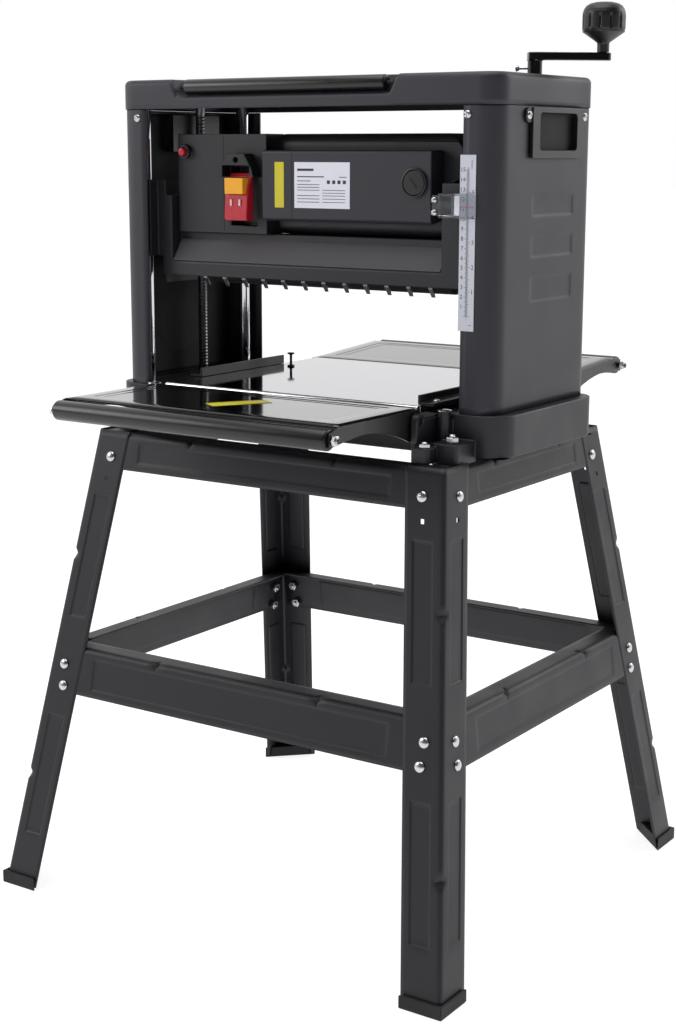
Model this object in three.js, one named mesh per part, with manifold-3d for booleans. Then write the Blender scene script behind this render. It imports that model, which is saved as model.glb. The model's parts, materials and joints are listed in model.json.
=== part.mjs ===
// A bench thickness planer on its sheet-steel stand.
// Millimetres, +Z up. The origin is on the floor under the middle of the stand.
// The infeed side faces -Y and the crank stands on the +X side.
import * as THREE from 'three';
import { mergeVertices } from 'three/addons/utils/BufferGeometryUtils.js';
import Module from 'manifold-3d';

const wasm = await Module();
wasm.setup();

// ---- driving dimensions -------------------------------------------------------------
const gap = 0.3; // between pieces that touch

const standHeight = 540; // floor to the face that carries the planer
const machineLevel = 540; // stand height that the planer's heights below are given for
const legTop = { x: 236, y: 179.5 }; // outer corner of a leg, level with the stand's top
const legFloor = { x: 305, y: 290 }; // outer corner of a leg, at the floor
const legSheet = 2;
const legFlange = 48;
const legRise = 4; // how far a leg stands above the top rails
const footSize = 52;
const footHeight = 15;
const footSole = 3;
const footWall = 2; // rubber outside the leg
const topRailHeight = 40;
const lowerRailBottom = 236;
const lowerRailHeight = 53;
const railFlange = 24;

const bodyHalfWidth = 252.6; // planer housings, outside
const bodyHalfDepth = 111.7;
const bodyCorner = 24; // corner radius seen from above
const wall = 3;
const throatHalfWidth = 212; // inner edges of the housings
const baseOverhang = 13; // base beyond the housings, each side
const baseBottom = 546;
const baseTop = 591;
const baseWall = 6;
const tableTop = 599;
const tableHalfWidth = 172;
const tableCentre = { x: 4, y: 20 };
const tableHalfDepth = 151;
const coverBottom = 910;
const coverTop = 942.7;

const postRadius = 8;
const post = { x: 228, y: 95 };
const screwRadius = 6;
const screw = { x: 228, y: 10 };
const runningFit = 0.4; // radial, for a post or a shaft in its bore

const cutDepth = 112; // board thickness that the carriage stands at
const carriageLevel = 112; // cutDepth that the carriage's heights below are given for
const headRadius = 22;
const knifeStand = 1.5; // how far the knives stand out of the head
const carriageBottom = 720;
const carriageTop = 830;
const carriageFace = 90; // front and rear faces of the side castings
const sideInner = { left: 192.5, right: 174.5 };
const sideOuter = 207;
const deckTop = carriageBottom + 50;
const deckSheet = 6;

const extensionHalfWidth = 182; // folding tables
const extensionSheet = 2;
const pivot = { y: tableHalfDepth + 22, z: tableTop - 14 }; // their pins, y from the table's centre
const pivotRadius = 4;
const rollerAxis = { y: pivot.y + 153, z: tableTop - 13 };
const rollerRadius = 11;
const rollerHalfLength = extensionHalfWidth + 9;
const outfeedLift = 3.6; // degrees that the outfeed table's stops raise it

const knobRadius = 23;
const knob = { x: 284, y: 58.4 };
const crankLevel = 958; // underside of the crank arm
const crankThickness = 8.5;

// ---- solids ---------------------------------------------------------------------------
const X = new THREE.Vector3(1, 0, 0);
const Y = new THREE.Vector3(0, 1, 0);
const Z = new THREE.Vector3(0, 0, 1);

function solidOf(geometry) {
  const bare = geometry.clone();
  bare.deleteAttribute('normal');
  bare.deleteAttribute('uv');
  const merged = mergeVertices(bare, 1e-4);
  return new wasm.Manifold(new wasm.Mesh({
    numProp: 3,
    vertProperties: Float32Array.from(merged.attributes.position.array),
    triVerts: Uint32Array.from(merged.index.array),
  }));
}

function geometryOf(solid) {
  const mesh = solid.getMesh();
  const geometry = new THREE.BufferGeometry();
  geometry.setAttribute('position', new THREE.BufferAttribute(mesh.vertProperties, 3));
  geometry.setIndex(new THREE.BufferAttribute(mesh.triVerts, 1));
  return geometry;
}

function box(x0, x1, y0, y1, z0, z1) {
  const geometry = new THREE.BoxGeometry(x1 - x0, y1 - y0, z1 - z0);
  geometry.translate((x0 + x1) / 2, (y0 + y1) / 2, (z0 + z1) / 2);
  return solidOf(geometry);
}

// A shape carried along an axis. It is drawn in (y, z) for x, in (x, z) for y and in (x, y) for z.
function prism(axis, shape, from, to, curveSegments = 6) {
  const settings = { depth: to - from, bevelEnabled: false, curveSegments };
  const geometry = new THREE.ExtrudeGeometry(shape, settings);
  const turn = new THREE.Matrix4();
  if (axis === 'x') turn.makeBasis(Y, Z, X).setPosition(from, 0, 0);
  if (axis === 'y') turn.makeBasis(X, Z, Y.clone().negate()).setPosition(0, to, 0);
  if (axis === 'z') turn.setPosition(0, 0, from);
  return solidOf(geometry.applyMatrix4(turn));
}

function outline(points) {
  return new THREE.Shape(points.map(([a, b]) => new THREE.Vector2(a, b)));
}

function roundedRect(a0, a1, b0, b1, radius) {
  const shape = new THREE.Shape();
  shape.absarc(a1 - radius, b0 + radius, radius, -Math.PI / 2, 0);
  shape.absarc(a1 - radius, b1 - radius, radius, 0, Math.PI / 2);
  shape.absarc(a0 + radius, b1 - radius, radius, Math.PI / 2, Math.PI);
  shape.absarc(a0 + radius, b0 + radius, radius, Math.PI, Math.PI * 1.5);
  shape.closePath();
  return shape;
}

// A round bar along an axis, centred on (a, b): (y, z) for x, (x, z) for y and (x, y) for z.
function rod(axis, radius, from, to, a, b, sides = 16) {
  const geometry = new THREE.CylinderGeometry(radius, radius, to - from, sides);
  const middle = (from + to) / 2;
  if (axis === 'x') geometry.rotateZ(-Math.PI / 2).translate(middle, a, b);
  if (axis === 'y') geometry.translate(a, middle, b);
  if (axis === 'z') geometry.rotateX(Math.PI / 2).translate(a, b, middle);
  return solidOf(geometry);
}

function joined(...solids) {
  return solids.reduce((sum, each) => sum.add(each));
}

function cut(solid, ...tools) {
  return tools.reduce((rest, each) => rest.subtract(each), solid);
}

// ---- finishes -------------------------------------------------------------------------
function finish(color, roughness, metalness) {
  return () => new THREE.MeshStandardMaterial({ color, roughness, metalness });
}

const powderCoat = finish(0x35363a, 0.6, 0.1);
const castPaint = finish(0x3a3a3e, 0.65, 0.1);
const blackPlastic = finish(0x1c1c1e, 0.5, 0);
const glossPaint = finish(0x0c0c0e, 0.12, 0.1);
const polishedSteel = finish(0xc9c9cd, 0.12, 1);
const chrome = finish(0xe2e2e6, 0.08, 1);
const toolSteel = finish(0x8e9094, 0.35, 1);
const rubber = finish(0x161617, 0.85, 0);
const redPlastic = finish(0xc8303c, 0.35, 0);
const yellowPlastic = finish(0xf7b93c, 0.35, 0);
const clearPlastic = finish(0xe8edf2, 0.1, 0);
const scaleFilm = finish(0xcfd0dc, 0.35, 0);
const copper = finish(0xb06a3c, 0.4, 1);

const planer = new THREE.Group();
const machine = new THREE.Group();
machine.position.z = standHeight - machineLevel;
planer.add(machine);

function piece(name, solid, material, group = machine) {
  const mesh = new THREE.Mesh(solid.isBufferGeometry ? solid : geometryOf(solid), material());
  mesh.name = name;
  group.add(mesh);
  return mesh;
}

// ---- stand ------------------------------------------------------------------------------
const stand = new THREE.Group();
planer.add(stand);

// Outer corner of a leg at a height.
function legCorner(z) {
  const down = (standHeight - z) / standHeight;
  return {
    x: legTop.x + (legFloor.x - legTop.x) * down,
    y: legTop.y + (legFloor.y - legTop.y) * down,
  };
}

// The upright angle section of a leg, grown by a margin on every side, leaning outwards.
function legSolid(sideX, sideY, bottom, top, margin) {
  const out = margin;
  const inner = legSheet + margin;
  const end = legFlange + margin;
  const corners = [[out, out], [-end, out], [-end, -inner], [-inner, -inner], [-inner, -end], [out, -end]];
  const geometry = new THREE.ExtrudeGeometry(
    outline(corners.map(([a, b]) => [sideX * a, sideY * b])),
    { depth: top - bottom, bevelEnabled: false },
  );
  const foot = legCorner(bottom);
  const head = legCorner(top);
  const lean = new THREE.Matrix4().makeShear(
    0, 0,
    0, 0,
    sideX * (head.x - foot.x) / (top - bottom), sideY * (head.y - foot.y) / (top - bottom),
  );
  geometry.applyMatrix4(lean).translate(sideX * foot.x, sideY * foot.y, bottom);
  return solidOf(geometry);
}

function footSolid(sideX, sideY) {
  const x = sideX * (legFloor.x + footWall);
  const y = sideY * (legFloor.y + footWall);
  const triangle = outline([[x, y], [x - sideX * footSize, y], [x, y - sideY * footSize]]);
  const block = prism('z', triangle, 0, footHeight);
  const socket = legSolid(sideX, sideY, footSole, footHeight + 5, gap);
  return block.subtract(socket);
}

// An angle rail: a leaning web inside the legs' flanges and a flange folded inwards along its top.
function railSolid(along, side, bottom, top) {
  const across = along === 'x' ? 'y' : 'x';
  const behindLeg = legSheet + gap;
  const face = (z) => side * (legCorner(z)[across] - behindLeg);
  const web = outline([
    [face(top), top], [face(bottom), bottom],
    [face(bottom) - side * legSheet, bottom], [face(top) - side * legSheet, top],
  ]);
  const flange = outline([
    [face(top), top], [face(top - legSheet), top - legSheet],
    [face(top) - side * railFlange, top - legSheet], [face(top) - side * railFlange, top],
  ]);
  const endOfX = legCorner(top).x - behindLeg;
  const webEnd = along === 'x' ? endOfX : legCorner(top).y - behindLeg - legSheet - gap;
  const flangeEnd = along === 'x' ? endOfX - legSheet - gap : legCorner(top).y - behindLeg - railFlange - gap;
  return prism(along, web, -webEnd, webEnd).add(prism(along, flange, -flangeEnd, flangeEnd));
}

const sides = { front: -1, rear: 1, left: -1, right: 1 };
for (const end of ['front', 'rear']) {
  for (const side of ['left', 'right']) {
    const leg = legSolid(sides[side], sides[end], footSole, standHeight + legRise, 0);
    piece(`leg_${end}_${side}`, leg, powderCoat, stand);
    piece(`foot_${end}_${side}`, footSolid(sides[side], sides[end]), rubber, stand);
  }
}
for (const [side, along] of [['front', 'x'], ['rear', 'x'], ['left', 'y'], ['right', 'y']]) {
  const lowerRailTop = lowerRailBottom + lowerRailHeight;
  const topRail = railSolid(along, sides[side], standHeight - topRailHeight, standHeight);
  const lowerRail = railSolid(along, sides[side], lowerRailBottom, lowerRailTop);
  piece(`top_rail_${side}`, topRail, powderCoat, stand);
  piece(`lower_rail_${side}`, lowerRail, powderCoat, stand);
}

// ---- base, tables and pins ----------------------------------------------------------------
const baseHalfWidth = bodyHalfWidth + baseOverhang;

// What the base carries at each corner: the ear of a folding table's pin, the boss and the block of
// its stop screws, and the pad that is bolted to the stand.
function hingeLug(sideX, sideY) {
  const pinY = pivot.y + sideY * tableCentre.y;
  const x0 = extensionHalfWidth + 1;
  const x1 = x0 + 8;
  const earBottom = baseBottom + 12;
  const inside = bodyHalfDepth - baseWall;
  const ear = prism('x', roundedRect(pinY - 9, pinY + 9, earBottom, pivot.z + 9, 8), x0, x1);
  const arm = box(x0, x1, inside, pinY, earBottom, baseTop - 3);
  const boss = rod('z', 6.5, earBottom, baseTop + 3, x1 + 8, bodyHalfDepth + 8);
  const web = box(x1 - 1, x1 + 14, inside, bodyHalfDepth + 8, earBottom, baseTop - 6);
  const padBottom = machineLevel + gap;
  const padPlan = roundedRect(x1 + 9, x1 + 41, inside, bodyHalfDepth + 38, 5);
  const pad = prism('z', padPlan, padBottom, baseBottom + 18);
  const blockPlan = roundedRect(x1 - 4, x1 + 18, pinY - 5, pinY + 17, 5);
  const block = prism('z', blockPlan, padBottom + 4, earBottom + 3);
  const tie = box(x1 - 4, x1 + 12, bodyHalfDepth, pinY, padBottom + 4, earBottom + 3);
  const hole = rod('x', pivotRadius + runningFit, x0 - 1, x1 + 1, pinY, pivot.z);
  return mirrored(joined(ear, arm, boss, web, pad, block, tie).subtract(hole), sideX, sideY);
}

// A solid drawn in the +X +Y quarter, moved to another quarter.
function mirrored(solid, sideX, sideY) {
  const first = sideX < 0 ? solid.mirror([1, 0, 0]) : solid;
  return sideY < 0 ? first.mirror([0, 1, 0]) : first;
}

function quarters(make) {
  return [[-1, -1], [1, -1], [-1, 1], [1, 1]].map(([sideX, sideY]) => make(sideX, sideY));
}

const chainLevel = 556;
const sprocketRadius = 16;
const sprocketWidth = 5;

function baseSolid() {
  const plan = roundedRect(-baseHalfWidth, baseHalfWidth, -bodyHalfDepth, bodyHalfDepth, bodyCorner + 4);
  const outside = prism('z', plan, baseBottom, baseTop);
  const hollow = prism('z', roundedRect(-baseHalfWidth + baseWall, baseHalfWidth - baseWall,
    -bodyHalfDepth + baseWall, bodyHalfDepth - baseWall, bodyCorner), baseBottom - 1, baseTop - baseWall);
  const bore = (radius, x, y) => rod('z', radius, baseBottom, baseTop + 1, x, y);
  const posts = quarters((sx, sy) => bore(postRadius + gap, sx * post.x, sy * post.y));
  const screws = [-1, 1].map((sx) => bore(screwRadius + runningFit, sx * screw.x, screw.y));
  return joined(cut(outside, hollow, ...posts, ...screws), ...quarters(hingeLug));
}

piece('base', baseSolid(), castPaint);

const tableEdge = tableCentre.y - tableHalfDepth;
const barRadius = 3;
piece('main_table', box(tableCentre.x - tableHalfWidth, tableCentre.x + tableHalfWidth,
  tableEdge, tableCentre.y + tableHalfDepth, baseTop + gap, tableTop), polishedSteel);
piece('table_edge_bar', rod('x', barRadius, tableCentre.x - tableHalfWidth, tableCentre.x + tableHalfWidth,
  tableEdge - barRadius - gap, tableTop - barRadius + 0.5), chrome);

const guideHeight = 11;
const guideRear = 92;
const guideLeftX = tableCentre.x - tableHalfWidth + 2;
const guideRightX = tableCentre.x + tableHalfWidth - 2;
function guideSolid(x0, inward, front) {
  const upright = box(Math.min(x0, x0 + inward * 3), Math.max(x0, x0 + inward * 3), front, guideRear,
    tableTop + gap, tableTop + guideHeight);
  const foot = box(Math.min(x0, x0 - inward * 16), Math.max(x0, x0 - inward * 16), front, guideRear,
    tableTop + gap, tableTop + gap + 3);
  return upright.add(foot);
}
piece('side_guide_left', guideSolid(guideLeftX, 1, -75), glossPaint);
piece('side_guide_right', guideSolid(guideRightX, -1, -128), glossPaint);

// ---- housings, cover, posts ------------------------------------------------------------------
const gripFace = bodyHalfWidth + 4.5;
const grip = { y0: -45, y1: 71, z0: 856, z1: 908 };
const gripMouth = { y0: -29, y1: 57, z0: 864, z1: 903 };
const gripBack = 237;
const ventDepth = 1.2;
const vents = [[796, 816], [753, 774], [706, 731]];
const ventY = { y0: -34, y1: 59 };

function housingSolid(side) {
  const top = coverBottom - gap;
  const bottom = baseTop + gap;
  const plan = roundedRect(-bodyHalfWidth, bodyHalfWidth, -bodyHalfDepth, bodyHalfDepth, bodyCorner);
  const whole = prism('z', plan, bottom, top);
  const inside = prism('z', roundedRect(-bodyHalfWidth + wall, bodyHalfWidth - wall,
    -bodyHalfDepth + wall, bodyHalfDepth - wall, bodyCorner - wall), bottom - 1, top + 1);
  const past = bodyHalfWidth + 1;
  const keep = box(throatHalfWidth, past, -bodyHalfDepth - 1, bodyHalfDepth + 1, bottom - 2, top + 2);
  const pressed = vents.map(([z0, z1]) => box(bodyHalfWidth - ventDepth, past, ventY.y0, ventY.y1, z0, z1));
  const mouth = box(bodyHalfWidth - wall - 1, bodyHalfWidth + 1, gripMouth.y0 - 4, gripMouth.y1 + 4,
    gripMouth.z0 - 3.5, gripMouth.z1 + 3.5);
  const right = cut(whole.subtract(inside).intersect(keep), ...pressed, mouth);
  return mirrored(right, side, 1);
}

function gripSolid(side) {
  const shellWall = 2;
  const plate = prism('x', roundedRect(grip.y0, grip.y1, grip.z0, grip.z1, 3), bodyHalfWidth + gap, gripFace);
  const earLevel = grip.z1 - 8;
  const ears = [grip.y0 - 5, grip.y1 + 3].map((y) => (
    rod('x', 8, bodyHalfWidth + gap, bodyHalfWidth + 3, y, earLevel)));
  const cup = box(gripBack, bodyHalfWidth + 1, gripMouth.y0 - shellWall, gripMouth.y1 + shellWall,
    gripMouth.z0 - shellWall, gripMouth.z1 + shellWall);
  const mouth = prism('x', roundedRect(gripMouth.y0, gripMouth.y1, gripMouth.z0, gripMouth.z1, 5),
    gripBack + shellWall, gripFace + 1);
  return mirrored(joined(plate, cup, ...ears).subtract(mouth), side, 1);
}

for (const [name, side] of [['left', -1], ['right', 1]]) {
  piece(`housing_${name}`, housingSolid(side), powderCoat);
  piece(`grip_${name}`, gripSolid(side), blackPlastic);
}

const returnRoller = { x0: -156, x1: 113, radius: 8.5, y: 103, z: 934 };
const recess = { x0: -166, x1: 123, depth: 24, floor: 924, wall: 2 };

function coverSolid() {
  const [halfWidth, halfDepth] = [bodyHalfWidth + 1, bodyHalfDepth + 1];
  const outer = roundedRect(-halfWidth, halfWidth, -halfDepth, halfDepth, bodyCorner);
  const [innerWidth, innerDepth] = [bodyHalfWidth - wall, bodyHalfDepth - wall];
  const inner = roundedRect(-innerWidth, innerWidth, -innerDepth, innerDepth, bodyCorner - wall - 1);
  const hollow = prism('z', inner, coverBottom - 1, coverTop - wall);
  const shell = prism('z', outer, coverBottom, coverTop).subtract(hollow);
  const trough = (side) => mirrored(box(recess.x0 - recess.wall, recess.x1 + recess.wall,
    halfDepth - recess.depth - recess.wall, halfDepth, recess.floor - recess.wall, coverTop), 1, side);
  const opening = (side) => mirrored(box(recess.x0, recess.x1, halfDepth - recess.depth, halfDepth + 1,
    recess.floor, coverTop + 1), 1, side);
  const ends = (side) => mirrored(joined(
    rod('x', 3.5, recess.x0 - 1, returnRoller.x0 - gap, returnRoller.y, returnRoller.z),
    rod('x', 3.5, returnRoller.x1 + gap, recess.x1 + 1, returnRoller.y, returnRoller.z)), 1, side);
  const crankHole = rod('z', 9, coverTop - wall - 1, coverTop + 1, screw.x, screw.y);
  const lined = joined(shell, trough(1), trough(-1));
  return joined(cut(lined, opening(1), opening(-1), crankHole), ends(1), ends(-1));
}

piece('top_cover', coverSolid(), powderCoat);
for (const [name, side] of [['front', -1], ['rear', 1]]) {
  const roller = rod('x', returnRoller.radius, returnRoller.x0, returnRoller.x1, 0, 0, 24);
  piece(`return_roller_${name}`, roller, glossPaint).position.set(0, side * returnRoller.y, returnRoller.z);
}

const postBottom = baseBottom + 2;
quarters((sideX, sideY) => {
  const name = `guide_post_${sideY < 0 ? 'front' : 'rear'}_${sideX < 0 ? 'left' : 'right'}`;
  const bar = rod('z', postRadius, postBottom, coverTop - wall - gap, 0, 0);
  return piece(name, bar, chrome).position.set(sideX * post.x, sideY * post.y, 0);
});

const ruler = { x0: 209.5, x1: 228, z0: 679, z1: 859.5, thickness: 0.6 };
piece('depth_ruler', box(ruler.x0, ruler.x1, -bodyHalfDepth - gap - ruler.thickness, -bodyHalfDepth - gap,
  ruler.z0, ruler.z1), scaleFilm);

// ---- lift: screws, chain, crank ---------------------------------------------------------------
const screwFoot = baseBottom + 2;
function screwSolid(top) {
  const sprocket = rod('z', sprocketRadius, chainLevel, chainLevel + sprocketWidth, 0, 0, 18);
  return rod('z', screwRadius, screwFoot, top, 0, 0).add(sprocket);
}
piece('lead_screw_left', screwSolid(coverTop - wall - 1), toolSteel).position.set(-screw.x, screw.y, 0);
piece('lead_screw_right', screwSolid(crankLevel - 1), toolSteel).position.set(screw.x, screw.y, 0);

function chainSolid() {
  const inner = sprocketRadius + gap;
  const outer = inner + 4;
  const loop = (r) => roundedRect(-screw.x - r, screw.x + r, screw.y - r, screw.y + r, r);
  const z0 = chainLevel;
  const hole = prism('z', loop(inner), z0 - 1, z0 + sprocketWidth + 1);
  return prism('z', loop(outer), z0, z0 + sprocketWidth).subtract(hole);
}
piece('lift_chain', chainSolid(), toolSteel);

const crank = new THREE.Group();
crank.position.set(screw.x, screw.y, crankLevel);
crank.rotation.z = Math.atan2(knob.y - screw.y, knob.x - screw.x);
machine.add(crank);

function crankSolid(length) {
  const bar = box(-8, length + 8, -8, 8, 0, crankThickness);
  const ends = prism('z', roundedRect(-9, length + 9, -8, 8, 8), 0, crankThickness);
  const hub = rod('z', 8, coverTop + gap - crankLevel, 1, 0, 0);
  const bore = rod('z', screwRadius + gap, coverTop - crankLevel - 1, -1 + gap, 0, 0);
  const neck = rod('z', 3.5, crankThickness - 1, crankThickness + 40, length, 0);
  return joined(bar.intersect(ends), hub, neck).subtract(bore);
}

function knobSolid() {
  const bore = 3.5 + runningFit;
  const profile = [
    [bore, 0.5], [6.5, 0.5], [6.5, 9], [10, 11], [knobRadius - 5, 15], [knobRadius, 23],
    [knobRadius, 35], [knobRadius - 2, 42], [knobRadius - 9, 48.5], [knobRadius - 15, 51.5], [bore, 52.5],
  ];
  const rings = profile.map(([radius, height]) => new THREE.Vector2(radius, height));
  rings.push(rings[0].clone());
  return solidOf(new THREE.LatheGeometry(rings, 24).rotateX(Math.PI / 2));
}

const crankLength = Math.hypot(knob.x - screw.x, knob.y - screw.y);
piece('crank_arm', crankSolid(crankLength), glossPaint, crank);
piece('crank_knob', knobSolid(), blackPlastic, crank).position.set(crankLength, 0, crankThickness);

// ---- cutterhead carriage -----------------------------------------------------------------------
const carriage = new THREE.Group();
carriage.position.z = cutDepth - carriageLevel;
machine.add(carriage);

const headAxis = { y: 0, z: tableTop + carriageLevel + headRadius + knifeStand };
const feed = { radius: 14, y: 48, z: tableTop + carriageLevel - 0.7 + 14, journal: 6 };
const pawlRod = { y: -75, z: 728, radius: 2.5 };
const motorAxis = { y: 6, z: 826 };
const beltX = { x0: -186, x1: -178 };
const slope = { z0: 735, y1: -72, z1: 762 }; // sloping face above the lip, from its front face back to y1
const headPulley = 20;
const motorPulley = 13;
const journal = 8;
const drumHalf = tableHalfWidth - 7; // the rollers and the knives pass down between the side guides
const drum = { x0: tableCentre.x - drumHalf, x1: tableCentre.x + drumHalf };

function carriageSolid() {
  const left = joined(
    box(-sideOuter, -sideInner.left, -carriageFace, carriageFace, carriageBottom, carriageTop - 18),
    box(-sideOuter, -sideInner.left - 9, -carriageFace, carriageFace, carriageBottom, carriageTop));
  const right = box(sideInner.right, sideOuter, -carriageFace, carriageFace, carriageBottom, carriageTop);
  const lip = prism('x', outline([
    [-carriageFace, carriageBottom], [-carriageFace + 8, carriageBottom], [-carriageFace + 8, slope.z0 + 4],
    [slope.y1 + 8, deckTop - deckSheet], [slope.y1 + 8, deckTop], [slope.y1, deckTop], [slope.y1, slope.z1],
    [-carriageFace, slope.z0]]), -sideOuter, sideOuter);
  const deck = box(-sideOuter, sideOuter, slope.y1, carriageFace, deckTop - deckSheet, deckTop);
  const tail = box(-sideOuter, sideOuter, carriageFace - 8, carriageFace, carriageBottom, deckTop);
  const arms = quarters((sx, sy) => mirrored(joined(
    box(throatHalfWidth + 1.5, post.x + 11, post.y - 12, post.y + 9, carriageBottom + 22, carriageTop),
    box(sideOuter - 5, post.x, post.y - 12, carriageFace, carriageBottom + 22, carriageTop)), sx, sy));
  const nuts = [-1, 1].map((sx) => mirrored(
    box(sideOuter - 5, screw.x + 11, screw.y - 13, screw.y + 13, 762, 804), sx, 1));
  const [boreFoot, boreHead] = [carriageBottom - 20, carriageTop + 10];
  const bore = (radius, x, y) => rod('z', radius + runningFit, boreFoot, boreHead, x, y, 20);
  const postBores = quarters((sx, sy) => bore(postRadius, sx * post.x, sy * post.y));
  const screwBores = [-1, 1].map((sx) => bore(screwRadius, sx * screw.x, screw.y));
  const shaftBores = [
    rod('x', journal + runningFit, -220, 220, headAxis.y, headAxis.z, 20),
    rod('x', feed.journal + runningFit, -220, 220, -feed.y, feed.z),
    rod('x', feed.journal + runningFit, -220, 220, feed.y, feed.z),
    rod('x', pawlRod.radius + runningFit, -220, 220, pawlRod.y, pawlRod.z),
    rod('x', journal + runningFit, -220, 0, motorAxis.y, motorAxis.z, 20),
  ];
  const beltSlot = box(beltX.x0 - 2, beltX.x1 + 3, -28, 36, deckTop - deckSheet - 1, deckTop + 1);
  return cut(joined(left, right, lip, deck, tail, ...arms, ...nuts),
    ...postBores, ...screwBores, ...shaftBores, beltSlot);
}
piece('carriage', carriageSolid(), castPaint, carriage);

// The chip deflector lies on the sloping face above the lip.
function deflectorSolid() {
  const rise = { y: slope.y1 + carriageFace, z: slope.z1 - slope.z0 };
  const length = Math.hypot(rise.y, rise.z);
  const at = (along, out) => [
    -carriageFace + rise.y * along - rise.z / length * out,
    slope.z0 + rise.z * along + rise.y / length * out,
  ];
  const shape = outline([at(0.06, gap), at(0.98, gap), at(0.98, gap + 1.2), at(0.06, gap + 1.2)]);
  return prism('x', shape, -sideInner.left + 1, sideInner.right - 1);
}
piece('chip_deflector', deflectorSolid(), castPaint, carriage);

const boxFace = -80;
const switchHole = { x0: -113, x1: -75, z0: 779, z1: 846 };
const reset = { x: -177, z: 862 };
function switchBoxSolid() {
  const whole = box(-190, -62, boxFace, -45, deckTop + gap, 882);
  const pocket = box(switchHole.x0, switchHole.x1, boxFace - 1, -62, switchHole.z0, switchHole.z1);
  const bezel = rod('y', 8, boxFace - 6, boxFace + 1, reset.x, reset.z, 24);
  const bore = rod('y', 4.5 + gap, boxFace - 10, -60, reset.x, reset.z, 20);
  return cut(whole.add(bezel), pocket, bore);
}
piece('switch_box', switchBoxSolid(), castPaint, carriage);
const resetButton = rod('y', 4.5, boxFace - 11, boxFace + 14, 0, 0, 20);
piece('reset_button', resetButton, redPlastic, carriage).position.set(reset.x, 0, reset.z);

const paddlePivot = { y: -80, z: 812 };
const paddle = { x0: -110, x1: -78, z0: 785, z1: 839, front: -97, back: -84 };
const key = { x0: -107, x1: -81, z0: 815, z1: 833, front: -100 };
function paddleSolid() {
  const body = prism('x', outline([
    [paddle.back, paddle.z0], [paddle.front + 2, paddle.z0], [paddle.front, paddle.z0 + 3], [-95, 812],
    [-92, 826], [paddle.back, paddle.z1]]), paddle.x0, paddle.x1);
  const boss = rod('x', 4, paddle.x0 + 4, paddle.x1 - 4, paddlePivot.y, paddlePivot.z);
  const { y: pivotY, z: pivotZ } = paddlePivot;
  const web = box(paddle.x0 + 4, paddle.x1 - 4, paddle.back - 1, pivotY, pivotZ - 4, pivotZ + 4);
  const pocket = box(key.x0 - gap, key.x1 + gap, key.front - 1, paddle.back - 3, key.z0 - gap, key.z1 + gap);
  return joined(body, boss, web).subtract(pocket);
}
piece('switch_paddle', paddleSolid(), redPlastic, carriage);
const keySolid = box(key.x0, key.x1, key.front, paddle.back - 3 - gap, key.z0, key.z1);
piece('safety_key', keySolid, yellowPlastic, carriage);

function guardSolid() {
  const middle = (paddle.x0 + paddle.x1) / 2;
  const rightHalf = [[12, 860], [23, 843], [25, 834], [19, 834], [19, 847]];
  const leftHalf = rightHalf.map(([a, z]) => [-a, z]).reverse();
  const shape = outline([...rightHalf, ...leftHalf].map(([a, z]) => [middle + a, z]));
  const padlockHole = rod('y', 3.2, boxFace - 17, boxFace, middle, 853);
  return prism('y', shape, boxFace - 16, boxFace - gap).subtract(padlockHole);
}
piece('switch_guard', guardSolid(), blackPlastic, carriage);

const coverFace = -90;
const motorCover = { x0: -61, x1: 161, z0: 786, z1: 864, back: -64 };
piece('motor_cover', prism('x', outline([
  [motorCover.back, motorCover.z0 + 4], [coverFace + 4, motorCover.z0], [coverFace, motorCover.z0 + 3],
  [coverFace, motorCover.z1 - 2], [coverFace + 2, motorCover.z1], [motorCover.back, motorCover.z1]]),
motorCover.x0, motorCover.x1), castPaint, carriage);

const brushCap = { x: 141, z: 830, radius: 16 };
const brushCapSolid = rod('y', brushCap.radius, coverFace - 3, coverFace - gap, 0, 0, 28);
piece('brush_cap', brushCapSolid, blackPlastic, carriage).position.set(brushCap.x, 0, brushCap.z);

const motorBody = { x0: -58, x1: 188, rear: 62, top: 882, round: 28 };
const motorBore = { radius: 41, end: 150 };
function motorHousingSolid() {
  const front = motorCover.back + gap;
  const endClear = sideInner.right - 1.5;
  const { x0, x1, rear, top, round } = motorBody;
  const section = roundedRect(front, rear, deckTop + gap, top, round / 2);
  const sideView = new THREE.Shape();
  sideView.moveTo(x0, deckTop);
  sideView.lineTo(endClear, deckTop);
  sideView.lineTo(endClear, carriageTop + 1);
  sideView.lineTo(x1, carriageTop + 1);
  sideView.absarc(x1 - round, top - round, round, 0, Math.PI / 2);
  sideView.lineTo(x0, top);
  sideView.closePath();
  const body = prism('x', section, x0, x1).intersect(prism('y', sideView, front - 1, rear + 1));
  return cut(body, rod('x', motorBore.radius, x0 - 1, motorBore.end, motorAxis.y, motorAxis.z, 28));
}
piece('motor_housing', motorHousingSolid(), castPaint, carriage);

function armatureSolid() {
  const stack = rod('x', 34, -40, 90, 0, 0, 24);
  const commutator = rod('x', 20, 89, 120, 0, 0, 20);
  const shaft = rod('x', journal, beltX.x0 - 1, 145, 0, 0);
  const pulley = rod('x', motorPulley, beltX.x0, beltX.x1, 0, 0, 24);
  return joined(stack, commutator, shaft, pulley);
}
piece('motor_armature', armatureSolid(), copper, carriage).position.set(0, motorAxis.y, motorAxis.z);

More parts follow.
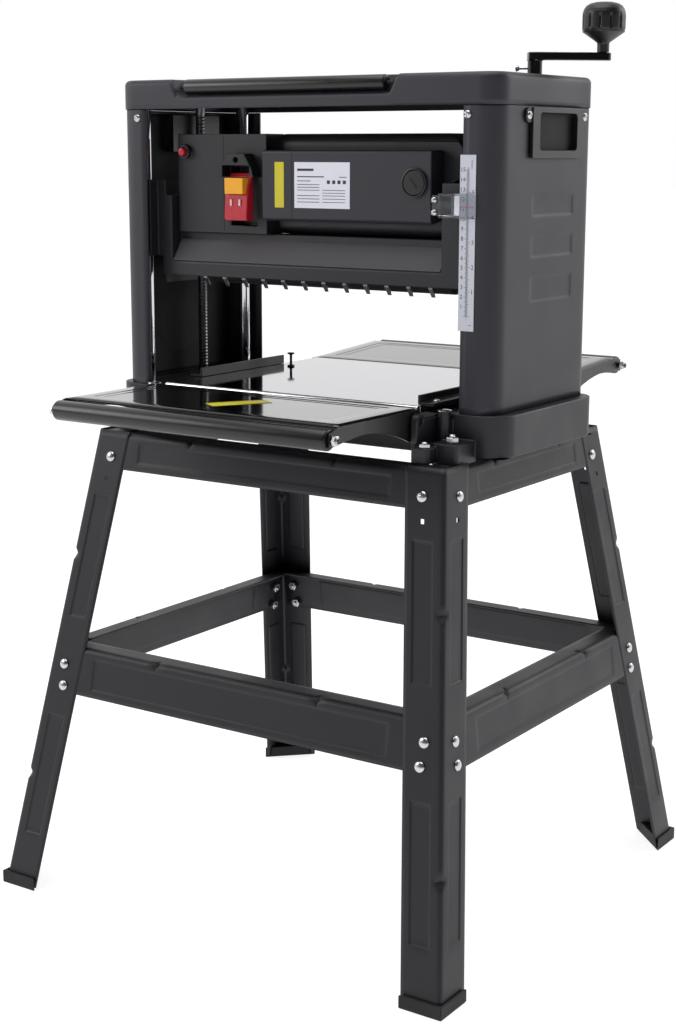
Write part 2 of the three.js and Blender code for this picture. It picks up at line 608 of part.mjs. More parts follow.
function beltSolid() {
  const z = headAxis.z - motorAxis.z;
  const y = headAxis.y - motorAxis.y;
  const reach = Math.hypot(y, z);
  const lean = Math.asin((motorPulley - headPulley) / reach);
  const loop = (extra) => {
    const shape = new THREE.Shape();
    shape.absarc(0, 0, motorPulley + extra, Math.PI + lean, -lean, true);
    shape.absarc(0, -reach, headPulley + extra, -lean, Math.PI + lean, true);
    shape.closePath();
    return shape;
  };
  const ring = prism('x', loop(gap + 3), beltX.x0, beltX.x1, 14)
    .subtract(prism('x', loop(gap), beltX.x0 - 1, beltX.x1 + 1, 14));
  return geometryOf(ring).rotateX(Math.atan2(y, -z));
}
piece('drive_belt', beltSolid(), rubber, carriage).position.set(0, motorAxis.y, motorAxis.z);

function cutterheadSolid() {
  const block = rod('x', headRadius, drum.x0, drum.x1, 0, 0, 32);
  const knife = box(drum.x0 + 2, drum.x1 - 2, -1.5, 1.5, -headRadius - knifeStand, headRadius + knifeStand);
  const shaft = rod('x', journal, -sideOuter, sideOuter, 0, 0);
  const pulley = rod('x', headPulley, beltX.x0, beltX.x1, 0, 0, 24);
  return joined(block, knife, shaft, pulley);
}
piece('cutterhead', cutterheadSolid(), toolSteel, carriage).position.set(0, headAxis.y, headAxis.z);

for (const [name, side] of [['front', -1], ['rear', 1]]) {
  const tube = rod('x', feed.radius, drum.x0, drum.x1, 0, 0, 24);
  const roller = joined(tube, rod('x', feed.journal, -sideOuter, sideOuter, 0, 0));
  piece(`feed_roller_${name}`, roller, rubber, carriage).position.set(0, side * feed.y, feed.z);
}

// Anti-kickback pawls: short pointed fingers in a row on one rod.
const pawlTips = tableTop + carriageLevel - 3;
function pawlSolid() {
  const tip = pawlTips - pawlRod.z;
  const finger = outline([[-3, 4], [3, 4], [2, tip + 8], [5, tip], [-2, tip + 9]]);
  const count = 12;
  const fingers = [];
  for (let k = 0; k < count; k += 1) {
    const x = -154 + (308 / (count - 1)) * k;
    fingers.push(prism('x', finger, x - 2.5, x + 2.5));
  }
  return joined(rod('x', pawlRod.radius, -180, 174, 0, 0), ...fingers);
}
piece('kickback_pawls', pawlSolid(), toolSteel, carriage).position.set(0, pawlRod.y, pawlRod.z);

function pointerSolid() {
  const face = -bodyHalfDepth - 2 * gap - ruler.thickness;
  const window = box(185, 230, face - 2.4, face, 795, 820);
  const block = box(sideInner.right + 2, throatHalfWidth - 12, face - 1, -carriageFace - gap, 797, 818);
  return window.add(block);
}
piece('depth_pointer', pointerSolid(), clearPlastic, carriage);

const gland = joined(rod('y', 8, 62 + gap, 78, 0, 0), rod('y', 11, 62 + gap, 66, 0, 0))
  .subtract(rod('y', 4, 70, 80, 0, 0));
piece('cord_gland', gland, rubber, carriage).position.set(120, 0, 800);

// ---- folding tables ---------------------------------------------------------------------------
function foldingTableSolid() {
  const front = rollerAxis.y - rollerRadius - 3;
  const back = pivot.y - 12;
  const top = tableTop - 1.5;
  const plate = box(-extensionHalfWidth, extensionHalfWidth, back, front, top - extensionSheet, top);
  const heel = pivot.z - 20;
  const skirt = new THREE.Shape();
  skirt.moveTo(back - 0.5, pivot.z + 8);
  skirt.lineTo(pivot.y - 9, heel + 4);
  skirt.lineTo(pivot.y - 5, heel);
  skirt.lineTo(pivot.y + 10, heel);
  skirt.quadraticCurveTo(pivot.y + 50, pivot.z - 2, pivot.y + 98, pivot.z - 1);
  skirt.lineTo(rollerAxis.y - 20, rollerAxis.z - 5);
  skirt.lineTo(rollerAxis.y + 4, rollerAxis.z - 8);
  skirt.lineTo(rollerAxis.y + 4, rollerAxis.z + 7);
  skirt.lineTo(front, top);
  skirt.lineTo(back, top);
  skirt.closePath();
  const cheek = prism('x', skirt, extensionHalfWidth - extensionSheet, extensionHalfWidth);
  const half = extensionHalfWidth;
  const pin = rod('x', pivotRadius, half - extensionSheet - 1, half + 8, pivot.y, pivot.z);
  const bore = rod('x', 3 + runningFit, half - 5, half + 5, rollerAxis.y, rollerAxis.z);
  const right = cheek.add(pin).subtract(bore);
  return joined(plate, right, right.mirror([1, 0, 0]));
}

function endRollerSolid() {
  const tubeEnd = extensionHalfWidth - extensionSheet - 1;
  const tube = rod('x', rollerRadius, -tubeEnd, tubeEnd, 0, 0, 24);
  const axle = rod('x', 3, -rollerHalfLength, rollerHalfLength, 0, 0);
  const cap = rod('x', 6, extensionHalfWidth + 1, rollerHalfLength, 0, 0);
  return joined(tube, axle, cap, cap.mirror([1, 0, 0]));
}

// The infeed table lies level. The outfeed table is turned up about its pin.
for (const [name, side, lift] of [['infeed', -1, 0], ['outfeed', 1, outfeedLift]]) {
  const pinY = tableCentre.y + side * pivot.y;
  const turn = THREE.MathUtils.degToRad(lift);
  const reach = rollerAxis.y - pivot.y;
  const rise = rollerAxis.z - pivot.z;
  const rollerY = pinY + side * (reach * Math.cos(turn) - rise * Math.sin(turn));
  const rollerZ = pivot.z + reach * Math.sin(turn) + rise * Math.cos(turn);
  const level = mirrored(foldingTableSolid().translate([0, -pivot.y, -pivot.z]), 1, side);
  const raised = level.rotate([side * lift, 0, 0]).translate([0, pinY, pivot.z]);
  piece(`${name}_table`, raised, glossPaint);
  piece(`${name}_roller`, endRollerSolid(), glossPaint).position.set(0, rollerY, rollerZ);
  // The origin is under the middle of the whole planer, halfway between its two end rollers.
  planer.position.y -= rollerY / 2;
}

export default planer;
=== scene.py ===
"""A bench thickness planer on its sheet-steel stand: the looks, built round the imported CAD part."""

import json
import math

import bmesh
import bpy
import numpy as np
from mathutils import Matrix, Vector

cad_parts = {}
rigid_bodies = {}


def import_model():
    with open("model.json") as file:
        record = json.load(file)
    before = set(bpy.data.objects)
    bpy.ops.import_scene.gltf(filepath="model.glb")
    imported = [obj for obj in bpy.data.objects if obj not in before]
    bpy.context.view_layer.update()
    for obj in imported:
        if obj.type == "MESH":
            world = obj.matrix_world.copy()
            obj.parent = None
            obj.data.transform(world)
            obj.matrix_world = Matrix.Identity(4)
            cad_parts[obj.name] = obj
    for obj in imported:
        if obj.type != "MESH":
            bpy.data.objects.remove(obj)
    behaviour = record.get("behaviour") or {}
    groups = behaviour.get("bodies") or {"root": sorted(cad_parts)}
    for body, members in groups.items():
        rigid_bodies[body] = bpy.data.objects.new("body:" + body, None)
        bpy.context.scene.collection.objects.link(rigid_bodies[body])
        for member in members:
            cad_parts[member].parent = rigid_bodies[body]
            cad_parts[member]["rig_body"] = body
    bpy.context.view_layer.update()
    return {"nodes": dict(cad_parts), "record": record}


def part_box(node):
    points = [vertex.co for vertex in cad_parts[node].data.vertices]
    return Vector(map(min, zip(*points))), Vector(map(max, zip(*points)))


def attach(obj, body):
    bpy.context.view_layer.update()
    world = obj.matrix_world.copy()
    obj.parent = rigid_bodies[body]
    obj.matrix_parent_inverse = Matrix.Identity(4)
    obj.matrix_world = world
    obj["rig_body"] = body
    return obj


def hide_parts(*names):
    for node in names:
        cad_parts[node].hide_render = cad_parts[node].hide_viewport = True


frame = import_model()

bl_info = {
    "name": "Thickness planer",
    "version": (1, 0, 0),
    "blender": (4, 5, 0),
    "location": "3D View > Sidebar > Planer",
    "description": "Builds the finish and the small parts of a thickness planer",
    "category": "Object",
}

MM = 0.001
SIDES = {"left": -1, "right": 1}
ENDS = {"front": -1, "rear": 1}


# ---- settings ---------------------------------------------------------------------------
def length(name, description, millimetres):
    """A length that the user can change, shown in the scene's units."""
    return bpy.props.FloatProperty(
        name=name, description=description, default=millimetres * MM, unit="LENGTH", precision=5
    )


class PlanerSizes(bpy.types.PropertyGroup):
    """Sizes of the details that the CAD part leaves out."""

    edge: length("Cast edge", "Rounding of cast and moulded edges", 1.2)
    sheet_edge: length("Sheet edge", "Rounding of thin sheet edges", 0.5)
    cover_edge: length("Cover edge", "Rounding along the top of the cover", 6.5)
    fold: length("Fold", "Outer radius of a folded sheet", 5.0)
    press: length("Pressing", "Depth of the pressed panels in the stand", 1.1)
    bolt: length("Bolt head", "Radius of a carriage bolt's domed head", 6.2)
    nut: length("Nut", "Radius over the corners of a hexagon nut", 6.4)
    panhead: length("Screw head", "Radius of a pan-head screw", 4.6)
    tick: length("Scale mark", "Width of a mark on the depth scale", 0.42)


class PlanerStage(bpy.types.PropertyGroup):
    """Camera and studio light."""

    lens: bpy.props.FloatProperty(
        name="Lens", description="Focal length", default=61.18, unit="CAMERA"
    )
    yaw: bpy.props.FloatProperty(
        name="Yaw", description="Turn from looking straight at the infeed side",
        default=math.radians(34.115), subtype="ANGLE",
    )
    pitch: bpy.props.FloatProperty(
        name="Pitch", description="Downward tilt", default=math.radians(11.717), subtype="ANGLE"
    )
    roll: bpy.props.FloatProperty(
        name="Roll", description="Turn about the line of sight", default=math.radians(0.10),
        subtype="ANGLE",
    )
    place: bpy.props.FloatVectorProperty(
        name="Place", description="Where the camera stands", default=(1.1283, -1.6918, 0.8630),
        subtype="TRANSLATION",
    )
    light: bpy.props.FloatProperty(
        name="Light", description="Strength of every studio light", default=1.0, min=0.0
    )


# ---- places from the frame ----------------------------------------------------------------
# The housings and the stand are even about their own middle, which isn't the origin, so every place
# below is measured from that middle, and piece() puts it back.
MIDDLE = np.array([0, sum(corner[1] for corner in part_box("housing_right")) / 2, 0])


def low(node):
    """Lowest corner of a CAD node, from the housings' middle."""
    return np.array(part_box(node)[0]) - MIDDLE


def high(node):
    """Highest corner of a CAD node, from the housings' middle."""
    return np.array(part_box(node)[1]) - MIDDLE


def middle(node):
    """Middle of a CAD node's box."""
    return (low(node) + high(node)) / 2


# ---- shapes: each is (points, faces) -----------------------------------------------------------
def grid(points, wrap=False, keep=None):
    """Quads over a grid of points (rows, columns, xyz): each joins a point to the next along its row
    and to the two after it in the next row. wrap joins the last column to the first. keep is a mask
    of the cells that stay."""
    rows, columns = points.shape[:2]
    index = np.arange(rows * columns).reshape(rows, columns)
    across = np.roll(index, -1, axis=1) if wrap else index[:, 1:]
    here = index if wrap else index[:, :-1]
    quads = np.stack([here[:-1], across[:-1], across[1:], here[1:]], axis=-1)
    if keep is not None:
        quads = quads[keep]
    return points.reshape(-1, 3), quads.reshape(-1, 4).tolist()


def capped(points):
    """Rings of points joined into a tube, with one face over its first ring and one over its last."""
    vertices, faces = grid(points, wrap=True)
    sides = points.shape[1]
    faces.append(list(range(sides))[::-1])
    faces.append(list(range(len(vertices) - sides, len(vertices))))
    return vertices, faces


def turned(profile, sides=32, ripple=None):
    """A profile of (radius, height) points from the lower pole to the upper one, carried round Z.
    ripple(angle, height) is taken off the radius."""
    profile = np.asarray(profile, float)
    angle = np.linspace(0, 2 * math.pi, sides, endpoint=False)
    radius = np.repeat(profile[:, :1], sides, axis=1)
    height = np.repeat(profile[:, 1:], sides, axis=1)
    if ripple is not None:
        radius = radius - ripple(angle[None, :], height)
    return capped(np.stack([radius * np.cos(angle), radius * np.sin(angle), height], axis=-1))


def rounded_rod(radius, start, end, edge, sides=32):
    """The profile of a bar along Z from start to end, its rims rounded by a quarter circle."""
    bend = np.linspace(0, math.pi / 2, 5)
    foot = np.stack([radius - edge + edge * np.sin(bend), start + edge - edge * np.cos(bend)], axis=1)
    head = np.stack([radius - edge + edge * np.cos(bend), end - edge + edge * np.sin(bend)], axis=1)
    return turned(np.vstack([foot, head]), sides)


def domed(radius, height, sides=24):
    """A bolt head: a quarter ellipse from its rim to its crown, on a low collar."""
    bend = np.linspace(0, math.pi / 2, 7)[:-1]
    crown = np.stack([radius * np.cos(bend), height * (0.2 + 0.8 * np.sin(bend))], axis=1)
    tip = [[radius * 0.02, height]]
    return turned(np.vstack([[[radius * 0.9, -height * 0.3]], crown, tip]), sides)


def hexagon(radius, height, bore, sides=24):
    """A hexagon nut with its bolt end: a six-sided ring, chamfered by its own cone, then a thread."""
    profile = np.array([
        [radius * 0.86, 0], [radius, height * 0.12], [radius, height * 0.88],
        [radius * 0.86, height], [bore, height], [bore, height * 1.35], [bore * 0.8, height * 1.5],
    ])
    angle = np.linspace(0, 2 * math.pi, sides, endpoint=False)
    flat = math.cos(math.pi / 6) / np.cos((angle % (math.pi / 3)) - math.pi / 6)
    hexed = (profile[:, 0] > bore)[:, None]
    radii = profile[:, :1] * np.where(hexed, flat[None, :], 1.0)
    heights = np.repeat(profile[:, 1:], sides, axis=1)
    points = np.stack([radii * np.cos(angle), radii * np.sin(angle), heights], axis=-1)
    return capped(points)


def crossed(radius, height):
    """A pan-head screw: a dome whose crown sinks along two crossing slots."""
    bend = np.linspace(0, math.pi / 2, 8)
    rows = np.stack([radius * np.cos(bend), height * np.sin(bend)], axis=1)
    rows[-1, 0] = radius * 0.03
    vertices, faces = turned(np.vstack([[[radius * 0.92, -height * 0.3]], rows]))
    x, y, z = vertices.T
    arm = radius * 0.16
    reach = np.hypot(x, y) < radius * 0.62
    slot = reach & ((np.abs(x) < arm) | (np.abs(y) < arm)) & (z > 0)
    vertices[slot, 2] -= height * 0.45
    return vertices, faces


def plate(x, y, z):
    """A flat block between two x, two y and two z values."""
    corners = np.array([[a, b, c] for c in z for b in y for a in x], float)
    faces = [[0, 2, 3, 1], [4, 5, 7, 6], [0, 1, 5, 4], [2, 6, 7, 3], [0, 4, 6, 2], [1, 3, 7, 5]]
    return corners, faces


def placed(shape, at, axis=(0, 0, 1)):
    """The shape with its Z turned to an axis and its origin moved to a point."""
    turn = np.array(Vector(axis).normalized().to_track_quat("Z", "Y").to_matrix())
    return shape[0] @ turn.T + np.asarray(at), shape[1]


def together(shapes):
    """Several shapes as one."""
    points, faces, count = [], [], 0
    for vertices, cells in shapes:
        points.append(vertices)
        faces.extend([[i + count for i in cell] for cell in cells])
        count += len(vertices)
    return np.vstack(points), faces


def stations(start, end, step, near=(), soft=1.0 * MM):
    """Even places from start to end, with extra ones on both sides of each place in near."""
    even = np.linspace(start, end, max(2, int(round(abs(end - start) / step)) + 1))
    extra = [place + shift * soft for place in near for shift in (-1, -0.5, 0, 0.5, 1)]
    inside = [v for v in extra if min(start, end) < v < max(start, end)]
    return np.unique(np.round(np.concatenate([even, inside]), 7))


def window(value, start, end, soft=1.0 * MM):
    """One between start and end and nought outside, with a smooth step at both ends."""
    rise = np.clip((value - start) / soft / 2 + 0.5, 0, 1)
    fall = np.clip((end - value) / soft / 2 + 0.5, 0, 1)
    return rise * rise * (3 - 2 * rise) * fall * fall * (3 - 2 * fall)


def from_rounded_box(x, y, half_x, half_y, radius):
    """Distance of (x, y) from the outline of a rounded rectangle about the origin, negative inside."""
    over_x = np.abs(x) - half_x + radius
    over_y = np.abs(y) - half_y + radius
    outside = np.hypot(np.maximum(over_x, 0), np.maximum(over_y, 0))
    return outside + np.minimum(np.maximum(over_x, over_y), 0) - radius


# ---- pieces -----------------------------------------------------------------------------------
def piece(name, shape, material, body, replaces=(), smooth=40, wall=0.0):
    """A mesh object with its finish, riding on a CAD body. wall gives a sheet its thickness, inwards."""
    mesh = bpy.data.meshes.new(name)
    mesh.from_pydata((np.asarray(shape[0]) + MIDDLE).tolist(), [], shape[1])
    mesh.validate()
    mesh.shade_smooth()
    mesh.set_sharp_from_angle(angle=math.radians(smooth))
    mesh.materials.append(finish(material))
    made = bpy.data.objects.new(name, mesh)
    bpy.context.scene.collection.objects.link(made)
    if wall:
        solid = made.modifiers.new("wall", "SOLIDIFY")
        solid.thickness = wall
        solid.offset = -1
        solid.use_even_offset = True
    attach(made, body)
    if replaces:
        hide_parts(*replaces)
    return made


def softened(node, material, edge, segments=2, angle=32, joined=True):
    """A copy of a CAD node with rounded corners: doubles merged, flat faces joined, then bevelled.
    joined is off where a flat face has an opening that one polygon can't go round."""
    source = frame["nodes"][node]
    triangles = [list(face.vertices) for face in source.data.polygons]
    points = np.zeros(len(source.data.vertices) * 3)
    source.data.vertices.foreach_get("co", points)
    made = piece(f"{node}_finished", (points.reshape(-1, 3) - MIDDLE, triangles), material,
                 source["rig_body"], [node])
    soup = bmesh.new()
    soup.from_mesh(made.data)
    bmesh.ops.remove_doubles(soup, verts=soup.verts, dist=0.00001)
    if joined:
        bmesh.ops.dissolve_limit(
            soup, angle_limit=math.radians(0.6), verts=soup.verts, edges=soup.edges)
    soup.to_mesh(made.data)
    soup.free()
    made.data.shade_smooth()
    made.data.set_sharp_from_angle(angle=math.radians(angle))
    bevel = made.modifiers.new("edges", "BEVEL")
    bevel.width = edge
    bevel.segments = segments
    bevel.limit_method = "ANGLE"
    bevel.angle_limit = math.radians(angle)
    bevel.use_clamp_overlap = False
    bevel.miter_outer = "MITER_ARC"
    weighted = made.modifiers.new("normals", "WEIGHTED_NORMAL")
    weighted.keep_sharp = True
    return made


# ---- materials ----------------------------------------------------------------------------------
def linear(colour):
    """An sRGB hex colour in linear light, by the sRGB curve, with full alpha."""
    channels = np.array([int(colour[i:i + 2], 16) for i in (1, 3, 5)]) / 255
    curve = np.where(channels <= 0.04045, channels / 12.92, ((channels + 0.055) / 1.055) ** 2.4)
    return (*curve.tolist(), 1.0)


def add(tree, kind, settings=None, links=None):
    """Adds a node. settings go to its inputs or its properties, and links are (node, output)."""
    node = tree.nodes.new(kind)
    for key, value in (settings or {}).items():
        if isinstance(key, int) or key in node.inputs:
            node.inputs[key].default_value = value
        else:
            setattr(node, key, value)
    for key, (source, output) in (links or {}).items():
        tree.links.new(source.outputs[output], node.inputs[key])
    return node


def grained(name, light, dark, gloss, grain, relief, stretch=(1, 1, 1), patch=60, **sockets):
    """A surface whose tone, gloss and height wander: grain is the spacing of its fine pattern and
    patch that of its broad one in millimetres, relief the height of its bumps in millimetres, and
    gloss its least and most roughness."""
    material = bpy.data.materials.new(name)
    material.use_nodes = True
    tree = material.node_tree
    shader = tree.nodes["Principled BSDF"]
    for socket, value in sockets.items():
        shader.inputs[socket.replace("_", " ")].default_value = value
    place = add(tree, "ShaderNodeTexCoord")
    scaled = add(tree, "ShaderNodeMapping", {"Scale": stretch}, {"Vector": (place, "Object")})
    fine = add(tree, "ShaderNodeTexNoise", {"Scale": 1 / (grain * MM), "Detail": 2.0},
               {"Vector": (scaled, "Vector")})
    broad = add(tree, "ShaderNodeTexNoise", {"Scale": 1 / (patch * MM), "Detail": 3.0},
                {"Vector": (scaled, "Vector")})
    tone = add(tree, "ShaderNodeMix", {"data_type": "RGBA", 6: linear(dark), 7: linear(light)},
               {0: (broad, "Fac")})
    rough = add(tree, "ShaderNodeMapRange", {"From Min": 0.3, "From Max": 0.7,
                "To Min": gloss[0], "To Max": gloss[1]}, {"Value": (broad, "Fac")})
    bump = add(tree, "ShaderNodeBump", {"Distance": relief * MM, "Strength": 1.0},
               {"Height": (fine, "Fac")})
    tree.links.new(tone.outputs[2], shader.inputs["Base Color"])
    tree.links.new(rough.outputs["Result"], shader.inputs["Roughness"])
    tree.links.new(bump.outputs["Normal"], shader.inputs["Normal"])
    return material


def powder_coated_steel():
    """Pressed steel sheet, powder coated: a satin charcoal with a fine orange peel."""
    return grained("powder_coated_steel", "#191a1f", "#14151a", (0.44, 0.54), 0.9, 0.018, IOR=1.5)


def painted_casting():
    """Die-cast aluminium under satin paint: a little coarser, so highlights break up softly."""
    return grained("painted_casting", "#1f2025", "#1a1b1f", (0.42, 0.52), 0.7, 0.022, IOR=1.5)


def textured_shell_coat():
    """Sheet housings in a fine-texture coat: an even satin charcoal that spreads light widely."""
    return grained("textured_shell_coat", "#292932", "#24242b", (0.44, 0.52), 0.6, 0.016, IOR=1.5)


def deflector_paint():
    """The slanted chip deflector, sprayed a lighter grey and flatter than the casting."""
    return grained("deflector_paint", "#4b494d", "#444246", (0.5, 0.58), 0.7, 0.015, IOR=1.5)


def black_enamel():
    """Stoved gloss enamel on steel: deep black with crisp reflections, faintly rippled."""
    return grained("black_enamel", "#0d0d0f", "#08080a", (0.08, 0.14), 6, 0.01, IOR=1.5,
                   Coat_Weight=0.4)


def satin_enamel():
    """Rollers' enamel, rubbed down: black, with one broad soft highlight along the tube."""
    return grained("satin_enamel", "#121214", "#0d0d0f", (0.26, 0.34), 3, 0.008, IOR=1.5)


def polished_stainless():
    """The table's stainless sheet, mirror polished, with hairlines along the feed direction."""
    return grained("polished_stainless", "#b4b3b8", "#acabb0", (0.05, 0.09), 0.5, 0.0006,
                   stretch=(1, 0.03, 1), Metallic=1.0)


def hard_chrome():
    """Ground and chromed bar: bright, with a sharp dark and light stripe along it."""
    return grained("hard_chrome", "#dedee2", "#d2d2d8", (0.08, 0.13), 0.6, 0.0008,
                   stretch=(1, 1, 4), Metallic=1.0)


def turned_steel():
    """Oiled steel off the lathe: mid grey with fine rings."""
    return grained("turned_steel", "#8b8c90", "#727377", (0.28, 0.4), 0.4, 0.003, Metallic=1.0)


def zinc_plate():
    """Bright zinc on fasteners: pale, a little hazy."""
    return grained("zinc_plate", "#d4d4d6", "#bcbcc0", (0.22, 0.32), 0.8, 0.004, patch=6,
                   Metallic=1.0)


def moulded_abs():
    """Black ABS from a spark-eroded tool: matt, with a fine even grain."""
    return grained("moulded_abs", "#0c0c0e", "#09090b", (0.36, 0.46), 0.5, 0.014, IOR=1.53)


def moulded_rubber():
    """Moulded black rubber: soft, nearly without shine, slightly dusty."""
    return grained("moulded_rubber", "#09090b", "#060608", (0.62, 0.74), 0.8, 0.02, IOR=1.52)


def red_abs():
    """Glossy red switch plastic."""
    return grained("red_abs", "#c41a30", "#b8162a", (0.26, 0.34), 1.2, 0.006, IOR=1.53)


def yellow_abs():
    """Glossy amber plastic of the safety key."""
    return grained("yellow_abs", "#fdb52c", "#f6a822", (0.26, 0.34), 1.2, 0.006, IOR=1.53)


def yellow_vinyl():
    """Plain yellow vinyl label."""
    return grained("yellow_vinyl", "#dccf2c", "#d2c424", (0.35, 0.45), 2, 0.004, IOR=1.5)


def label_film():
    """Pale laminated label, faintly cool."""
    return grained("label_film", "#eeeef8", "#e6e6f2", (0.32, 0.4), 2, 0.004, IOR=1.5)


def scale_film():
    """Printed polyester scale: pale lavender, satin."""
    return grained("scale_film", "#a2a3b4", "#999aab", (0.3, 0.38), 2, 0.003, IOR=1.6)


def printing_ink():
    """Dark blue-black ink on the labels and the scale."""
    return grained("printing_ink", "#34343c", "#2a2a32", (0.4, 0.5), 1, 0.002, IOR=1.5)


def pale_ink():
    """White ink on the switch."""
    return grained("pale_ink", "#e8d8da", "#e0ced1", (0.35, 0.45), 1, 0.002, IOR=1.5)


def red_line_ink():
    """The pointer's red line."""
    return grained("red_line_ink", "#c84a58", "#c04250", (0.35, 0.45), 1, 0.002, IOR=1.5)


def deep_shadow_seam():
    """Painted shade: a near-black matt finish for the dark in seams, slots and hollows."""
    return grained("deep_shadow_seam", "#0c0c0d", "#080809", (0.7, 0.8), 1, 0.01, IOR=1.5)


def varnished_copper():
    """Copper windings under brown varnish, in fine turns along the motor."""
    return grained("varnished_copper", "#a5603a", "#7c4326", (0.25, 0.4), 1.0, 0.2,
                   stretch=(1, 0.1, 0.1), Metallic=1.0)


def clear_acrylic():
    """Clear moulded acrylic: mostly seen by its bright edges."""
    return grained("clear_acrylic", "#f2f4f8", "#e8ecf2", (0.04, 0.08), 3, 0.004, IOR=1.49,
                   Transmission_Weight=1.0)


FINISHES = {make.__name__: make for make in (
    powder_coated_steel, painted_casting, textured_shell_coat, deflector_paint, black_enamel,
    satin_enamel, polished_stainless, hard_chrome, turned_steel, zinc_plate, moulded_abs,
    moulded_rubber, red_abs, yellow_abs, yellow_vinyl, label_film, scale_film, printing_ink, pale_ink,
    red_line_ink, deep_shadow_seam, varnished_copper, clear_acrylic,
)}


def finish(name):
    """The material of that name, made the first time it is asked for."""
    return bpy.data.materials.get(name) or FINISHES[name]()


# ---- stand ----------------------------------------------------------------------------------------
STAND_HEIGHT = 540
LEG_SPREAD = np.array([69.0, 110.5])  # how far a leg's foot stands out from its top, in millimetres
LEG_LEAN = LEG_SPREAD / STAND_HEIGHT  # how far a leg's corner moves in for each unit up
LEG_FLANGE = 48 * MM
LEG_SHEET = 2 * MM


def leg_corner(side, end, z):
    """The (x, y) of a leg's outer corner at each height: a straight line, leaning in from its foot."""
    node = f"leg_{end}_{side}"
    foot = np.maximum(np.abs(low(node)[:2]), np.abs(high(node)[:2]))
    corner = foot - LEG_LEAN * (np.asarray(z)[..., None] - low(node)[2])
    return corner * [SIDES[side], ENDS[end]]


class PLANER_OT_stand(bpy.types.Operator):
    """Folded legs and rails with their pressed panels, and rubber feet"""

    bl_idname = "planer.stand"
    bl_label = "Stand"

    def execute(self, context):
        sizes = context.scene.planer_sizes
        for end in ENDS:
            for side in SIDES:
                make_leg(side, end, sizes)
                softened(f"foot_{end}_{side}", "moulded_rubber", sizes.edge)
        for level in ("top", "lower"):
            for side, across in (("front", 1), ("rear", 1), ("left", 0), ("right", 0)):
                make_rail(level, side, across, sizes)
        return {"FINISHED"}


def fold_profile(flange_a, flange_b, radius, marks_a=(), marks_b=()):
    """The developed line of an angle section, as (distance along flange a, distance along flange b,
    position from the corner): straight, a quarter circle at the corner, then straight."""
    a = stations(radius, flange_a, 4 * MM, marks_a)[::-1]
    b = stations(radius, flange_b, 4 * MM, marks_b)
    bend = np.linspace(0, math.pi / 2, 7)[1:-1]
    arc_a = radius - radius * np.sin(bend)
    arc_b = radius - radius * np.cos(bend)
    place_a = np.concatenate([a, arc_a, np.zeros(len(b))])
    place_b = np.concatenate([np.zeros(len(a)), arc_b, b])
    position = np.concatenate([-a, (bend / (math.pi / 4) - 1) * radius, b])
    return place_a, place_b, position


# Along a leg, in millimetres up from the floor: its two pressed panels, its nicks and its small hole.
LEG_PANELS = ((326, 469), (66, 208.5))
LEG_NICKS = (397, 133.5)
LEG_HOLE = (486.5, 491.5)
# Across a flange, in millimetres from the corner.
LEG_PANEL_ACROSS = (14.5, 38)
LEG_HOLE_ACROSS = (24.5, 29.5)
NICK_REACH = 7 * MM


def with_nicks(places, nicks, reach, count):
    """The places with an even run of extra ones over each nick."""
    extra = [np.linspace(n - reach, n + reach, count) for n in nicks]
    return np.unique(np.round(np.concatenate([places] + extra), 7))


def pinched(places, nicks, reach):
    """One at each nick, falling in a straight line to nought at its reach."""
    return sum(np.clip(1 - np.abs(places - n) / reach, 0, 1) for n in nicks)


def make_leg(side, end, sizes):
    """A leg: an angle section whose corner slides outwards with depth. Each flange sinks inwards in
    two long panels, and the corner is pinched by a V nick at the middle of each."""
    node = f"leg_{end}_{side}"
    marks = [v * MM for v in LEG_PANEL_ACROSS]
    hole = [v * MM for v in LEG_HOLE_ACROSS]
    hole_z = [v * MM for v in LEG_HOLE]
    nicks = [v * MM for v in LEG_NICKS]
    place_a, place_b, position = fold_profile(
        LEG_FLANGE, LEG_FLANGE, sizes.fold, marks + hole, marks + hole)
    ends = [v * MM for panel in LEG_PANELS for v in panel]
    z = stations(low(node)[2], high(node)[2], 8 * MM, ends + hole_z + nicks)
    z = with_nicks(z, nicks, NICK_REACH, 9)
    corner = leg_corner(side, end, z[:, None])
    distance = np.abs(position)[None, :]
    pressed = sum(window(z[:, None], a * MM, b * MM) for a, b in LEG_PANELS)
    pressed = pressed * window(distance, marks[0], marks[1]) * sizes.press
    pinch = pinched(z[:, None], nicks, NICK_REACH) * np.clip(1 - distance / (9 * MM), 0, 1) * 3.2 * MM
    on_a = (position < 0)[None, :]
    inward_a = np.where(on_a, pressed, 0) + pinch
    inward_b = np.where(on_a, 0, pressed) + pinch
    sx, sy = SIDES[side], ENDS[end]
    x = corner[..., 0] - sx * (place_a[None, :] + inward_b)
    y = corner[..., 1] - sy * (place_b[None, :] + inward_a)
    points = np.stack([x, y, np.repeat(z[:, None], x.shape[1], axis=1)], axis=-1)
    if sx * sy > 0:
        points = points[:, ::-1]
        distance = distance[:, ::-1]
    cell_z = (z[1:] + z[:-1])[:, None] / 2
    cell_d = (distance[:, 1:] + distance[:, :-1]) / 2
    open_cell = (cell_z > hole_z[0]) & (cell_z < hole_z[1]) & (cell_d > hole[0]) & (cell_d < hole[1])
    piece(f"{node}_pressed", grid(points, keep=~open_cell), "powder_coated_steel", "frame",
          [node], smooth=50, wall=LEG_SHEET)


